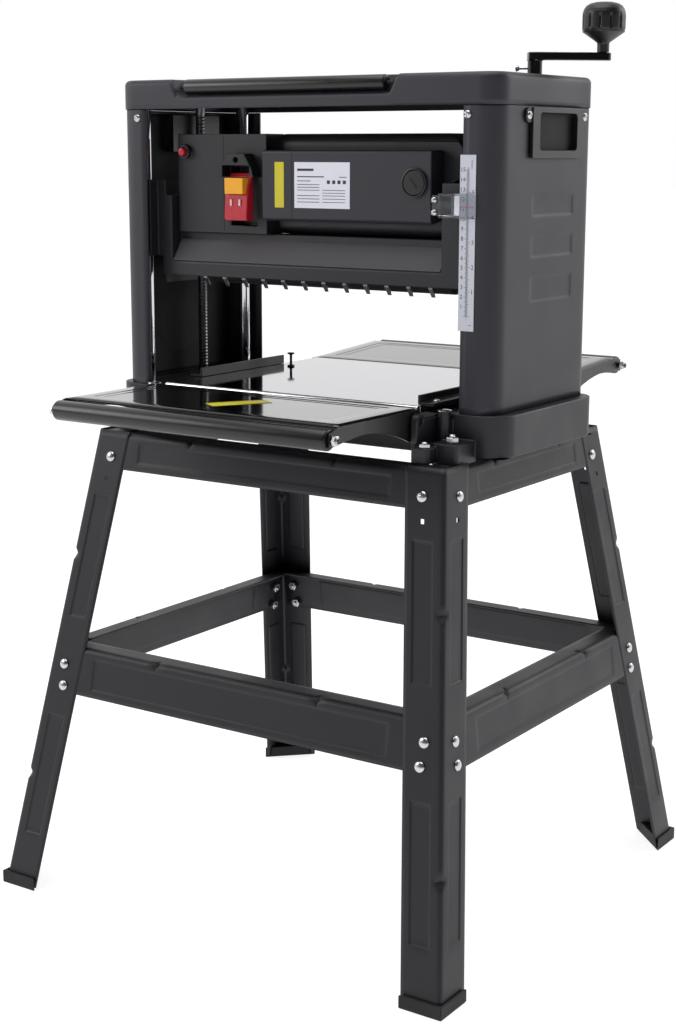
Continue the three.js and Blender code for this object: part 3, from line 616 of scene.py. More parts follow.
def make_rail(level, side, across, sizes):
    """A rail: its web leans with the legs and sinks in one long panel, its flange folds inwards along
    the top, and two small nicks pinch the fold."""
    node = f"{level}_rail_{side}"
    start, end = low(node), high(node)
    sign = 1 if (start[across] + end[across]) > 0 else -1
    along = 1 - across
    outer_low = end[across] if sign > 0 else start[across]
    height = end[2] - start[2]
    lean = LEG_LEAN[across]
    outer_top = outer_low - sign * lean * height
    web_half = end[along]
    flange, border, inset, nick_reach = 24 * MM, 9 * MM, 62 * MM, 5 * MM
    panel = (border, height - border)
    place_a, place_b, position = fold_profile(flange, height, sizes.fold * 0.8, (), panel)
    nicks = np.array([-0.42, 0.42]) * web_half
    run = stations(-web_half, web_half, 14 * MM, [-web_half + inset, web_half - inset], 2 * MM)
    run = with_nicks(run, nicks, nick_reach, 7)
    flange_half = web_half - (LEG_SHEET if across else flange)
    on_flange = np.where(position < 0, np.clip(-position / (6 * MM), 0, 1), 0)
    half = web_half - (web_half - flange_half) * on_flange
    length_at = run[:, None] / web_half * half[None, :]
    sunk = window(run[:, None], -web_half + inset, web_half - inset, 2 * MM)
    sunk = sunk * window(position[None, :], panel[0], panel[1], 1.5 * MM) * sizes.press * 0.6
    near_fold = np.clip(1 - np.abs(position[None, :]) / (7 * MM), 0, 1)
    pinch = pinched(run[:, None], nicks, nick_reach) * near_fold * 2.4 * MM
    z = end[2] - place_b[None, :] - pinch
    face = outer_top + sign * lean * place_b[None, :]
    sideways = face - sign * (place_a[None, :] + sunk + pinch)
    parts = [None, None, z + 0 * length_at]
    parts[across] = sideways + 0 * length_at
    parts[along] = length_at
    points = np.stack(parts, axis=-1)
    if (sign > 0) == (across == 0):
        points = points[:, ::-1]
    piece(f"{node}_pressed", grid(points), "powder_coated_steel", "frame", [node],
          smooth=50, wall=LEG_SHEET)


class PLANER_OT_fasteners(bpy.types.Operator):
    """Carriage bolts, nuts and screws"""

    bl_idname = "planer.fasteners"
    bl_label = "Fasteners"

    def execute(self, context):
        sizes = context.scene.planer_sizes
        make_stand_bolts(sizes)
        make_screws(sizes)
        return {"FINISHED"}


STAND_BOLTS = ((514, 27), (269, 22), (244, 27))  # each is (height, distance from the corner)


def make_stand_bolts(sizes):
    """Domed bolts through both flanges of every leg and hexagon nuts behind them, each standing
    square to the leaning face."""
    head = domed(sizes.bolt, 3.4 * MM)
    nut = hexagon(sizes.nut, 4.5 * MM, 3 * MM)
    heads, nuts = [], []
    for side, sx in SIDES.items():
        for end, sy in ENDS.items():
            for level, inset in STAND_BOLTS:
                z = level * MM
                x, y = leg_corner(side, end, np.array([z]))[0]
                front = np.array([x - sx * inset * MM, y, z])
                flank = np.array([x, y - sy * (inset + 3) * MM, z - 1.5 * MM])
                for at, normal in ((front, [0, sy, LEG_LEAN[1]]), (flank, [sx, 0, LEG_LEAN[0]])):
                    normal = np.array(normal) / np.linalg.norm(normal)
                    heads.append(placed(head, at, normal))
                    nuts.append(placed(nut, at - normal * 4.6 * MM, -normal))
    piece("stand_bolts", together(heads), "zinc_plate", "frame", smooth=50)
    piece("stand_nuts", together(nuts), "zinc_plate", "frame", smooth=30)


def make_screws(sizes):
    """Every small screw and nut on the housings, the base, the guides and the end rollers."""
    make_housing_screws(crossed(sizes.panhead, 2.6 * MM))
    make_base_nuts()
    make_guide_screws(crossed(4.2 * MM, 2.4 * MM))
    make_roller_bolts("infeed", "infeed_roll")
    make_roller_bolts("outfeed", "outfeed_roll")


SCREW_LEVEL = 900 * MM  # height of the screws under the cover
GRIP_EAR = 255.7 * MM  # how far out a grip's ears stand


def make_housing_screws(head):
    """Pan-head screws on the housings' faces and on the grips' ears."""
    front = low("housing_right")[1]
    inner = abs(low("housing_right")[0]) + 4.5 * MM
    shown = []
    for side, sign in SIDES.items():
        x = sign * (inner + (0 if side == "right" else 7.5 * MM))
        shown.append(placed(head, [x, front, SCREW_LEVEL], (0, -1, 0)))
        shown.append(placed(head, [x, -front, SCREW_LEVEL], (0, 1, 0)))
        grip = f"grip_{side}"
        for y in (low(grip)[1] + 6.5 * MM, high(grip)[1] - 5.5 * MM):
            shown.append(placed(head, [sign * GRIP_EAR, y, SCREW_LEVEL], (sign, 0, 0)))
    piece("housing_screws", together(shown), "zinc_plate", "frame", smooth=50)


# Places on the base's lugs in millimetres: (from side to side, front to rear, height).
LUG_NUT = np.array([217, 133, 563.8]) * MM
LUG_BOSS = np.array([199, 119.7, 594]) * MM
STOP_NUT = np.array([200, 8, 560.8]) * MM  # its middle figure is from the folding table's pin


def make_base_nuts():
    """A nut on each lug, a domed plug in its boss and the lock nut of the table's stop screw."""
    nuts = []
    for sx in SIDES.values():
        for end, sy in ENDS.items():
            sides = np.array([sx, sy, 1])
            pin = np.array([0, abs(pin_of("infeed_fold" if end == "front" else "outfeed_fold")[1]), 0])
            nuts.append(placed(hexagon(7.2 * MM, 6 * MM, 3.6 * MM), LUG_NUT * sides))
            nuts.append(placed(hexagon(6.2 * MM, 4 * MM, 3.2 * MM), (STOP_NUT + pin) * sides))
            nuts.append(placed(domed(8 * MM, 2.5 * MM), LUG_BOSS * sides))
    piece("base_nuts", together(nuts), "zinc_plate", "frame", smooth=30)


def make_guide_screws(head):
    """Three screws along the foot of each side guide."""
    guides = []
    for side, sign in SIDES.items():
        node = f"side_guide_{side}"
        foot = low(node)[0] + 7 * MM if sign < 0 else high(node)[0] - 7 * MM
        for y in np.linspace(low(node)[1] + 18 * MM, high(node)[1] - 18 * MM, 3):
            guides.append(placed(head, [foot, y, low(node)[2] + 3 * MM]))
    piece("guide_screws", together(guides), "zinc_plate", "frame", smooth=50)


def make_roller_bolts(name, body):
    """A nut on each end of an end roller's axle."""
    axis, reach = middle(f"{name}_roller"), high(f"{name}_roller")[0] - 6.8 * MM
    caps = [placed(hexagon(5.6 * MM, 4.4 * MM, 3 * MM), [sign * reach, axis[1], axis[2]], (sign, 0, 0))
            for sign in SIDES.values()]
    piece(f"{name}_roller_bolts", together(caps), "zinc_plate", body, smooth=30)


# ---- base, tables ------------------------------------------------------------------------------
class PLANER_OT_tables(bpy.types.Operator):
    """Base, polished table, side guides and folding tables"""

    bl_idname = "planer.tables"
    bl_label = "Base and tables"

    def execute(self, context):
        sizes = context.scene.planer_sizes
        softened("base", "painted_casting", sizes.edge)
        softened("main_table", "polished_stainless", sizes.sheet_edge)
        bar_low, bar_high = low("table_edge_bar"), high("table_edge_bar")
        bar = rounded_rod((bar_high[2] - bar_low[2]) / 2, 0, bar_high[0] - bar_low[0], 0.6 * MM)
        centre = (bar_low + bar_high) / 2
        piece("edge_bar", placed(bar, [bar_low[0], centre[1], centre[2]], (1, 0, 0)), "hard_chrome",
              "frame", ["table_edge_bar"])
        for side in SIDES:
            softened(f"side_guide_{side}", "moulded_abs", sizes.sheet_edge)
        for name in ("infeed", "outfeed"):
            softened(f"{name}_table", "satin_enamel", sizes.sheet_edge)
            make_pressed_sheet(name)
            make_end_roller(name)
        make_stop_pin()
        return {"FINISHED"}


def pin_of(joint):
    """Where a joint's pin is."""
    joints = {each["name"]: each for each in frame["record"]["behaviour"]["joints"]}
    return np.array(joints[joint]["pos_m"]) - MIDDLE


def table_lift(name):
    """How far a folding table is turned up about its pin, from the heights of its roller and pin."""
    pin, roller = pin_of(f"{name}_fold"), middle(f"{name}_roller")
    level = middle("infeed_roller") - pin_of("infeed_fold")
    return math.atan2(roller[2] - pin[2], abs(roller[1] - pin[1])) - math.atan2(level[2], -level[1])


def make_pressed_sheet(name):
    """The folding table's top sheet: its border stands proud, then the height steps down across two
    nested rounded rectangles, and it drops to the plate round its edge."""
    sign = -1 if name == "infeed" else 1
    pin, roller = pin_of(f"{name}_fold"), pin_of("infeed_fold")[1] - middle("infeed_roller")[1]
    lift = table_lift(name)
    top = high("infeed_table")[2] - pin[2]
    half_x = high("infeed_table")[0] - 8.6 * MM
    inner, outer = -11 * MM, roller - 15 * MM
    mid, half_y = (inner + outer) / 2, (outer - inner) / 2
    rims = ((22, 0.55), (31, 0.45))
    marks_x = [s * (half_x - gap * MM) for s in (-1, 1) for gap, _ in rims]
    marks_y = [s * (half_y - gap * MM * 0.75) for s in (-1, 1) for gap, _ in rims]
    across, along = np.meshgrid(stations(-half_x, half_x, 9 * MM, marks_x, 2 * MM),
                                stations(-half_y, half_y, 6 * MM, marks_y, 2 * MM))
    height = 0.15 + 0 * across
    for gap, step in rims:
        ring = from_rounded_box(across, along, half_x - gap * MM, half_y - gap * MM * 0.75, 8 * MM)
        height = height + step * window(ring, 0, 1, 1.2 * MM)
    edge = np.minimum(half_x - np.abs(across), half_y - np.abs(along))
    height = top + 0.04 * MM + height * np.clip(edge / (1.5 * MM), 0, 1) ** 0.5 * MM
    reach = mid + along
    points = np.stack([
        across,
        pin[1] + sign * (reach * math.cos(lift) - height * math.sin(lift)),
        pin[2] + reach * math.sin(lift) + height * math.cos(lift),
    ], axis=-1)
    points = points if sign > 0 else points[:, ::-1]
    piece(f"{name}_pressed_top", grid(points), "black_enamel", name, smooth=60,
          wall=0.03 * MM)
    if name == "infeed":
        # A flat yellow parallelogram lying on the infeed sheet, turned across it.
        long_way, wide_way = np.array([0.54, 0.84]), np.array([0.84, -0.54])
        corners = [[a * 34 * MM * long_way + b * 12.5 * MM * wide_way for a in (-1, 1)] for b in (-1, 1)]
        flat = np.array([0, pin[1] - mid]) + np.array(corners)
        sheet = np.concatenate([flat, np.full((2, 2, 1), high("infeed_table")[2] + 0.35 * MM)], axis=2)
        piece("infeed_yellow_patch", grid(sheet), "yellow_vinyl", name, wall=0.15 * MM)


def make_end_roller(name):
    """An end roller turned from bar, with rounded rims and its axle."""
    node = f"{name}_roller"
    box_low, box_high = low(node), high(node)
    centre = (box_low + box_high) / 2
    radius = (box_high[2] - box_low[2]) / 2
    tube_half = box_high[0] - 12 * MM
    tube = placed(rounded_rod(radius, -tube_half, tube_half, 2 * MM, 48), centre, (1, 0, 0))
    axle = placed(rounded_rod(3 * MM, -box_high[0], box_high[0], 0.5 * MM, 16), centre, (1, 0, 0))
    body = f"{name}_roll"
    piece(f"{node}_tube", together([tube, axle]), "satin_enamel", body, [node])


def make_stop_pin():
    """The little flanged pin that stops the board's edge near the table's rear."""
    profile = np.array([[4.2, 0], [4.5, 0.4], [4.5, 1.8], [2, 2.6], [1.6, 3.4], [1.6, 14], [2, 15],
                        [4.4, 15.6], [4.5, 16.4], [4.2, 17.4], [0.1, 17.8]]) * MM
    table_low, table_high = low("main_table"), high("main_table")
    at = [table_low[0] + 30 * MM, table_high[1] - 99 * MM, table_high[2]]
    piece("stop_pin", placed(turned(profile, 24), at), "moulded_abs", "frame")


# ---- housings and cover ------------------------------------------------------------------------
class PLANER_OT_housings(bpy.types.Operator):
    """Side housings, grips, top cover with its rollers, posts and screws"""

    bl_idname = "planer.housings"
    bl_label = "Housings and cover"

    def execute(self, context):
        sizes = context.scene.planer_sizes
        for side, sign in SIDES.items():
            make_housing(side, sign)
            softened(f"grip_{side}", "moulded_abs", 0.5 * MM, joined=False)
            make_grip_inside(side, sign)
            make_liner(side, sign)
        make_cover(sizes)
        for end in ENDS:
            make_return_roller(end)
            for side in SIDES:
                make_post(f"guide_post_{end}_{side}")
        return {"FINISHED"}


CORNER = 24 * MM  # corner radius of the housings and the cover, seen from above
HOUSING_SHEET = 3 * MM
VENTS = ((796, 816), (753, 774), (706, 731))  # heights of the sunken bands' edges, in millimetres
VENT_ALONG = (-34, 59)  # where the bands start and end along the side


def make_housing(side, sign):
    """A housing: one sheet along the front, round a quarter circle, along the side, and round to the
    rear. Three bands sink into its side, each by a smooth step, and it is open behind the grip."""
    node = f"housing_{side}"
    inner, half = low("housing_right")[0], high(node)[1]
    outer = high("housing_right")[0]
    bend = np.linspace(0, math.pi / 2, 15)[1:-1]
    mouth_low, mouth_high = low("grip_right"), high("grip_right")
    mouth_y = (mouth_low[1] + 12 * MM, mouth_high[1] - 10 * MM)
    mouth_z = (mouth_low[2] + 5 * MM, mouth_high[2] - 2 * MM)
    face = stations(inner, outer - CORNER, 8 * MM)
    along = stations(-half + CORNER, half - CORNER, 6 * MM, [v * MM for v in VENT_ALONG] + list(mouth_y),
                     2 * MM)
    z = stations(low(node)[2], high(node)[2], 8 * MM,
                 [v * MM for vent in VENTS for v in vent] + list(mouth_z), 2 * MM)
    flat, turn_in, turn_out = np.ones(len(face)), np.sin(bend), np.cos(bend)
    x = np.concatenate([face, outer - CORNER + CORNER * turn_in, outer + 0 * along,
                        outer - CORNER + CORNER * turn_out, face[::-1]])
    y = np.concatenate([-half * flat, CORNER - half - CORNER * turn_out, along,
                        half - CORNER + CORNER * turn_in, half * flat])
    flank = (np.abs(y) <= half - CORNER)[None, :]
    band = sum(window(z[:, None], a * MM, b * MM, 2.4 * MM) for a, b in VENTS)
    band = band * window(y[None, :], VENT_ALONG[0] * MM, VENT_ALONG[1] * MM, 2.4 * MM) * flank
    points = np.stack([sign * (x[None, :] - 0.9 * MM * band), np.repeat(y[None, :], len(z), axis=0),
                       np.repeat(z[:, None], len(y), axis=1)], axis=-1)
    middle_y, middle_z = (y[1:] + y[:-1])[None, :] / 2, (z[1:] + z[:-1])[:, None] / 2
    behind_grip = (middle_y > mouth_y[0]) & (middle_y < mouth_y[1]) & flank[:, 1:] & flank[:, :-1]
    behind_grip = behind_grip & (middle_z > mouth_z[0]) & (middle_z < mouth_z[1])
    if sign < 0:
        points, behind_grip = points[:, ::-1], behind_grip[:, ::-1]
    piece(f"{node}_sheet", grid(points, keep=~behind_grip), "textured_shell_coat", "frame",
          [node], smooth=50, wall=HOUSING_SHEET)


def make_liner(side, sign):
    """A near-black sheet inside the housing, painted shade for its dark inside, with a round outline
    pressed into it: its depth follows the distance from one circle."""
    node = f"housing_{side}"
    wall_x = high("housing_right")[0] - 3.4 * MM
    y = stations(-88 * MM, 88 * MM, 4 * MM)
    z = stations(low(node)[2] + 4 * MM, high(node)[2] - 4 * MM, 4 * MM)
    across, up = np.meshgrid(y, z)
    ring = np.abs(np.hypot(across + 6 * MM, up - 660 * MM) - 40 * MM)
    depth = 0.9 * MM * np.exp(-(ring / (2.2 * MM)) ** 2)
    points = np.stack([sign * (wall_x - depth), across, up], axis=-1)
    points = points if sign < 0 else points[:, ::-1]
    # Painted shade: the sheet is near-black to stand in for the dark inside the housing.
    piece(f"housing_shade_liner_{side}", grid(points), "deep_shadow_seam", "frame",
          smooth=60, wall=0.3 * MM)


GRIP_BACK = 239.2 * MM  # how far out the back of a grip's hollow is
GRIP_HOLLOW = 12.8 * MM  # and how deep the hollow is from there


def make_grip_inside(side, sign):
    """Painted shade in a grip's hollow as thin near-black plates on its back and sides, then a rib down
    from its top and a moulded wedge whose three edges rise to a point and catch the light."""
    node = f"grip_{side}"
    grip_low, grip_high = low(node), high(node)
    back, mouth = GRIP_BACK, GRIP_BACK + GRIP_HOLLOW
    y0, y1 = grip_low[1] + 24.4 * MM, grip_high[1] - 22.4 * MM
    z0, z1 = grip_low[2] + 8.4 * MM, grip_high[2] - 5.4 * MM

    def across(x, y, z):
        return plate(sorted((sign * x[0], sign * x[1])), y, z)

    # Painted shade: thin near-black plates over the back and sides of the hollow, where it is dark.
    painted_shade_lining = [
        across((back, back + 0.4 * MM), (y0, y1), (z0, z1)),
        across((back, mouth), (y0, y0 + 0.3 * MM), (z0 + 4 * MM, z1 - 4 * MM)),
        across((back, mouth), (y1 - 0.3 * MM, y1), (z0 + 4 * MM, z1 - 4 * MM)),
        across((back, mouth), (y0 + 4 * MM, y1 - 4 * MM), (z1 - 0.3 * MM, z1)),
        across((back, mouth), (y0 + 4 * MM, y1 - 4 * MM), (z0, z0 + 0.3 * MM)),
    ]
    piece(f"{node}_lining", together(painted_shade_lining), "deep_shadow_seam", "frame")
    rib_y = y0 + 0.42 * (y1 - y0)
    rib = across((back, mouth - 3 * MM), (rib_y - 1.2 * MM, rib_y + 1.2 * MM),
                 (z0 + 0.38 * (z1 - z0), z1))
    piece(f"{node}_rib", rib, "moulded_abs", "frame")
    root = np.array([[y0 + 2 * MM, z0 + 1 * MM], [y0 + 19 * MM, z0 + 1 * MM], [y0 + 12 * MM, z0 + 15 * MM]])
    rim = np.column_stack([np.full(3, sign * (back + 0.3 * MM)), root])
    tip = np.array([[sign * (mouth - 2 * MM), root[:, 0].mean(), root[:, 1].mean()]])
    wedge = np.vstack([rim, tip])
    faces = [[0, 1, 3], [1, 2, 3], [2, 0, 3], [0, 2, 1]]
    faces = faces if sign > 0 else [face[::-1] for face in faces]
    piece(f"{node}_wedge", (wedge, faces), "black_enamel", "frame", smooth=10)


def make_cover(sizes):
    """The top cover as a height over its rounded-rectangle plan: level, rounded by a quarter circle
    near its outline, and sunk to the recess floor where a roller lies. A skirt hangs from the
    outline."""
    node = "top_cover"
    box_low, box_high = low(node), high(node)
    half_x, half_y = box_high[0], box_high[1]
    edge = sizes.cover_edge
    roller = "return_roller_front"
    recess = (low(roller)[0] - 10 * MM, high(roller)[0] + 10 * MM)
    recess_wall = half_y - 24 * MM
    floor = box_high[2] - 18.7 * MM
    near_edge = np.array([0, 0.15, 0.6, 1.4, 2.6, 4.2, 6.5]) * MM
    y = np.concatenate([-half_y + near_edge, stations(-recess_wall - 16 * MM, -recess_wall + 4 * MM,
                        2 * MM), stations(-recess_wall + 6 * MM, 0, 9 * MM)])
    y = np.unique(np.round(np.concatenate([y, -y]), 6))
    past_corner = np.maximum(np.abs(y) - half_y + CORNER, 0)
    half_here = half_x - CORNER + np.sqrt(np.maximum(CORNER**2 - past_corner**2, 0))
    inner = stations(-0.98, 0.98, 0.012)
    rim = 1 - near_edge / half_x
    u = np.unique(np.round(np.concatenate([inner, rim, -rim]), 6))
    x_grid = u[None, :] * half_here[:, None]
    y_grid = np.repeat(y[:, None], len(u), axis=1)
    inside = np.clip(-from_rounded_box(x_grid, y_grid, half_x, half_y, CORNER), 0, edge)
    drop = edge - np.sqrt(np.maximum(edge**2 - (edge - inside) ** 2, 0))
    slope = 7 * MM
    sunk = window(x_grid, recess[0] - slope / 2, recess[1] + slope / 2, slope)
    sunk = sunk * sunk * (3 - 2 * sunk)
    sunk = sunk * (1 - window(np.abs(y_grid), -1, recess_wall, 1.2 * MM))
    level = box_high[2] - drop
    z_grid = level + (floor - np.minimum(drop, 2 * MM) - level) * sunk
    points = np.stack([x_grid, y_grid, z_grid], axis=-1)
    top = grid(points)
    loop = np.concatenate([points[0, :-1], points[:-1, -1], points[-1, :0:-1], points[:0:-1, 0]])
    levels = np.linspace(1, 0, 6)[:, None]
    skirt = np.stack([np.repeat(loop[None, :, 0], 6, axis=0), np.repeat(loop[None, :, 1], 6, axis=0),
                      box_low[2] + (loop[None, :, 2] - box_low[2]) * levels], axis=-1)
    hanging = grid(skirt[::-1], wrap=True)
    made = piece("cover_shell", together([top, hanging]), "textured_shell_coat", "frame",
                 [node], smooth=50)
    weld(made, 0.00002)
    solid = made.modifiers.new("wall", "SOLIDIFY")
    solid.thickness = 2.4 * MM
    solid.offset = -1
    pins = [placed(rounded_rod(2.2 * MM, 0, 9 * MM, 0.4 * MM, 20),
                   [x, sign * middle("return_roller_rear")[1], middle(roller)[2]], (1, 0, 0))
            for x in (recess[0] + 0.5 * MM, recess[1] - 9.5 * MM) for sign in (-1, 1)]
    piece("roller_pins", together(pins), "moulded_rubber", "frame")


def weld(made, distance):
    """Merges the points of an object's mesh that lie together and turns its faces outwards."""
    soup = bmesh.new()
    soup.from_mesh(made.data)
    bmesh.ops.remove_doubles(soup, verts=soup.verts, dist=distance)
    bmesh.ops.recalc_face_normals(soup, faces=soup.faces)
    soup.to_mesh(made.data)
    soup.free()


def make_return_roller(end):
    """A material-return roller: an enamelled tube with rounded ends."""
    node = f"return_roller_{end}"
    box_low, box_high = low(node), high(node)
    centre = (box_low + box_high) / 2
    radius = (box_high[2] - box_low[2]) / 2
    half = (box_high[0] - box_low[0]) / 2
    tube = rounded_rod(radius, -half, half, 1.6 * MM, 48)
    piece(f"{node}_tube", placed(tube, centre, (1, 0, 0)), "satin_enamel", f"return_{end}",
          [node])


def make_post(node):
    """A ground and chromed guide post with a small chamfer at each end."""
    box_low, box_high = low(node), high(node)
    radius = (box_high[0] - box_low[0]) / 2
    post = rounded_rod(radius, box_low[2], box_high[2], 1 * MM, 40)
    centre = (box_low + box_high) / 2
    piece(f"{node}_ground", placed(post, [centre[0], centre[1], 0]), "hard_chrome", "frame",
          [node])


# ---- lift --------------------------------------------------------------------------------------
class PLANER_OT_lift(bpy.types.Operator):
    """Threaded lead screws, crank arm and knob"""

    bl_idname = "planer.lift"
    bl_label = "Lift"

    def execute(self, context):
        for side, body in (("left", "left_screw"), ("right", "crank")):
            make_lead_screw(side, body)
        softened("crank_arm", "black_enamel", 0.9 * MM)
        make_set_screw()
        make_knob()
        return {"FINISHED"}


THREAD = (600 * MM, 905 * MM)  # heights where a lead screw's thread starts and ends
SPROCKET_LEVEL = 556 * MM


def make_lead_screw(side, body):
    """A threaded bar: its radius falls and rises once per turn of a helix, with plain ends and the
    sprocket's teeth round its foot."""
    node = f"lead_screw_{side}"
    box_low, box_high = low(node), high(node)
    centre = (box_low + box_high) / 2
    radius, pitch, sides = 6 * MM, 4 * MM, 20
    foot, head = THREAD
    z = np.concatenate([[box_low[2], foot - pitch], np.arange(foot, head, pitch / 6),
                        [head + pitch, box_high[2]]])
    angle = np.linspace(0, 2 * math.pi, sides, endpoint=False)
    helix = (z[:, None] / pitch - angle[None, :] / (2 * math.pi)) % 1
    threaded = ((z > foot - pitch / 2) & (z < head + pitch / 2))[:, None]
    cut = np.where(threaded, 1.1 * MM * np.abs(2 * helix - 1), 0)
    reach = radius - cut
    points = np.stack([centre[0] + reach * np.cos(angle), centre[1] + reach * np.sin(angle),
                       np.repeat(z[:, None], sides, axis=1)], axis=-1)
    teeth = 16
    toothed = turned(np.array([[6.2, 0], [14.6, 0], [15.6, 1], [15.6, 4], [14.6, 5], [6.2, 5]]) * MM,
                     teeth * 6, lambda a, h: 1.8 * MM * (0.5 + 0.5 * np.cos(teeth * a)))
    sprocket = placed(toothed, [centre[0], centre[1], SPROCKET_LEVEL])
    piece(f"{node}_threaded", together([capped(points), sprocket]), "turned_steel", body,
          [node], smooth=60)


def make_set_screw():
    """The crank's set screw, a thin stem with a flared head, pointing away from the knob."""
    hub = middle("lead_screw_right")
    away = np.array([-1.0, -0.25, 0.0])
    profile = np.array([[1.4, 0], [1.4, 9], [2.4, 10], [3.4, 12.2], [3.2, 12.9], [0.1, 12.4]]) * MM
    at = [hub[0], hub[1], low("crank_arm")[2] + 7 * MM] + away * 7.4 * MM
    piece("crank_set_screw", placed(turned(profile, 20), at, away), "zinc_plate", "crank")


def make_knob():
    """The crank knob: a mushroom turned from its profile, with finger slots sunk round its waist."""
    node = "crank_knob"
    box_low, box_high = low(node), high(node)
    centre = (box_low + box_high) / 2
    radius = (box_high[0] - box_low[0]) / 2
    base, total = box_low[2], box_high[2] - box_low[2]
    shape = np.array([
        [0.20, 0.00], [0.283, 0.004], [0.283, 0.17], [0.30, 0.19], [0.52, 0.26], [0.90, 0.375],
        [0.965, 0.395], [0.985, 0.415], [0.965, 0.425], [0.985, 0.44], [1.0, 0.47], [1.0, 0.60],
        [1.0, 0.72], [0.985, 0.79], [0.93, 0.86], [0.83, 0.92], [0.66, 0.965], [0.42, 0.99],
        [0.2, 0.998], [0.02, 1.0],
    ])
    fine = np.linspace(0, len(shape) - 1, 96)
    steps = np.arange(len(shape))
    profile = np.stack([np.interp(fine, steps, shape[:, 0]) * radius,
                        np.interp(fine, steps, shape[:, 1]) * total], axis=1)

    def slots(angle, height):
        across = (angle / (2 * math.pi) * 12) % 1
        narrow = np.clip(1 - np.abs(across - 0.5) / 0.11, 0, 1) ** 0.5
        band = window(height, 0.47 * total, 0.74 * total, 2.5 * MM)
        return 1.7 * MM * narrow * band

    piece("knob_turned", placed(turned(profile, 144, slots), [centre[0], centre[1], base]),
          "moulded_abs", "crank_knob", [node], smooth=60)


# ---- carriage ------------------------------------------------------------------------------------
class PLANER_OT_carriage(bpy.types.Operator):
    """Cutterhead carriage, motor, rollers and pawls"""

    bl_idname = "planer.carriage"
    bl_label = "Carriage"

    def execute(self, context):
        sizes = context.scene.planer_sizes
        softened("carriage", "painted_casting", 0.9 * MM)
        softened("chip_deflector", "deflector_paint", 0.4 * MM)
        softened("motor_cover", "textured_shell_coat", sizes.edge)
        softened("motor_housing", "painted_casting", 2.4 * MM, segments=4)
        make_brush_cap()
        make_label()
        make_drums()
        dress("kickback_pawls", "turned_steel")
        dress("drive_belt", "moulded_rubber")
        dress("lift_chain", "turned_steel")
        softened("cord_gland", "moulded_rubber", 0.5 * MM)
        return {"FINISHED"}


def dress(node, material):
    """Gives a CAD node, shown as it is, a better finish."""
    slots = frame["nodes"][node].data.materials
    slots.clear()
    slots.append(finish(material))


def make_brush_cap():
    """The motor brush cap: a low round boss in a thin ring, with a diagonal screwdriver slot drawn as a
    flat near-black plate of painted shade.
    """
    node = "brush_cap"
    box_low, box_high = low(node), high(node)
    centre = (box_low + box_high) / 2
    radius = (box_high[0] - box_low[0]) / 2
    profile = np.array([[0.9, 0], [0.97, 0.2], [0.97, 0.9], [0.9, 1.0], [0.87, 0.9], [0.85, 0.55],
                        [0.82, 0.85], [0.78, 1.0], [0.4, 1.06], [0.02, 1.08]])
    profile = profile * [radius, box_high[1] - box_low[1]]
    cap = placed(turned(profile, 64), [centre[0], box_high[1], centre[2]], (0, -1, 0))
    piece("brush_cap_turned", cap, "moulded_abs", "carriage", [node], smooth=30)
    # Painted shade: a flat near-black plate where the slot's dark depth would be.
    slot = plate((-6.5 * MM, 6.5 * MM), (-0.9 * MM, 0.9 * MM), (0, 0.2 * MM))
    lean = np.array(Matrix.Rotation(-0.9, 3, "Z"))
    turned_slot_shade = (slot[0] @ lean.T, slot[1])
    at = [centre[0], box_low[1] - 0.2 * MM, centre[2]]
    piece("brush_cap_slot_shade", placed(turned_slot_shade, at, (0, -1, 0)), "deep_shadow_seam", "carriage")


def make_label():
    """The rating label and the sticker on the motor cover: plain panels, with generic rules."""
    cover_low, cover_high = low("motor_cover"), high("motor_cover")
    face = cover_low[1]
    x0 = cover_low[0] + 45 * MM
    z1 = cover_high[2] - 13 * MM
    wide, tall = 74 * MM, 50 * MM
    panel = plate((x0, x0 + wide), (face - 0.35 * MM, face), (z1 - tall, z1))
    piece("rating_label", panel, "label_film", "carriage")
    bars = []

    def bar(start, end, level, thick):
        bars.append(plate((x0 + start * MM, x0 + end * MM), (face - 0.45 * MM, face - 0.3 * MM),
                          (z1 - (level + thick) * MM, z1 - level * MM)))

    bar(4, 26, 7, 2.6)
    bar(4, 40, 15.2, 1.2)
    bar(60, 70, 15.6, 0.7)
    bar(4, 22, 20, 0.8)
    for level in (24, 27, 30, 36, 39.5, 43):
        bar(4, 34, level, 0.7)
        bar(38, 68, level + (0 if level > 33 else 6), 0.6)
    for start in (44, 51, 58, 65):
        bar(start, start + 4, 19.5, 3.8)
    piece("rating_label_rules", together(bars), "printing_ink", "carriage")
    sticker_x = cover_low[0] + 18 * MM
    sticker = plate((sticker_x, sticker_x + 12.5 * MM), (face - 0.35 * MM, face), (z1 - tall, z1))
    piece("sticker", sticker, "yellow_vinyl", "carriage")
    # Painted shade: a near-black strip standing in for the shadowed groove of the cover's seam.
    seam = plate((x0 - 4.2 * MM, x0 - 3.4 * MM), (face - 0.08 * MM, face),
                 (cover_low[2] + 4 * MM, cover_high[2] - 2 * MM))
    piece("motor_cover_seam_shade", seam, "deep_shadow_seam", "carriage")


def make_drums():
    """Feed rollers, cutterhead and motor armature, along X, and the shield in the motor's end."""
    for end in ENDS:
        node = f"feed_roller_{end}"
        centre, reach = middle(node), high(node)[0]
        radius = (high(node)[2] - low(node)[2]) / 2
        half, shift = 165 * MM, 6 * MM
        roller = rounded_rod(radius, -half + shift, half + shift, 1.5 * MM, 48)
        axle = rounded_rod(6 * MM, -reach, reach, 0.5 * MM, 20)
        at = [0, centre[1], centre[2]]
        piece(f"{node}_moulded", together([placed(roller, at, (1, 0, 0)), placed(axle, at, (1, 0, 0))]),
              "moulded_rubber", f"feed_{end}", [node])
    softened("cutterhead", "turned_steel", 0.4 * MM)
    armature = softened("motor_armature", "turned_steel", 0.5 * MM)
    make_windings(armature)
    make_end_shield()


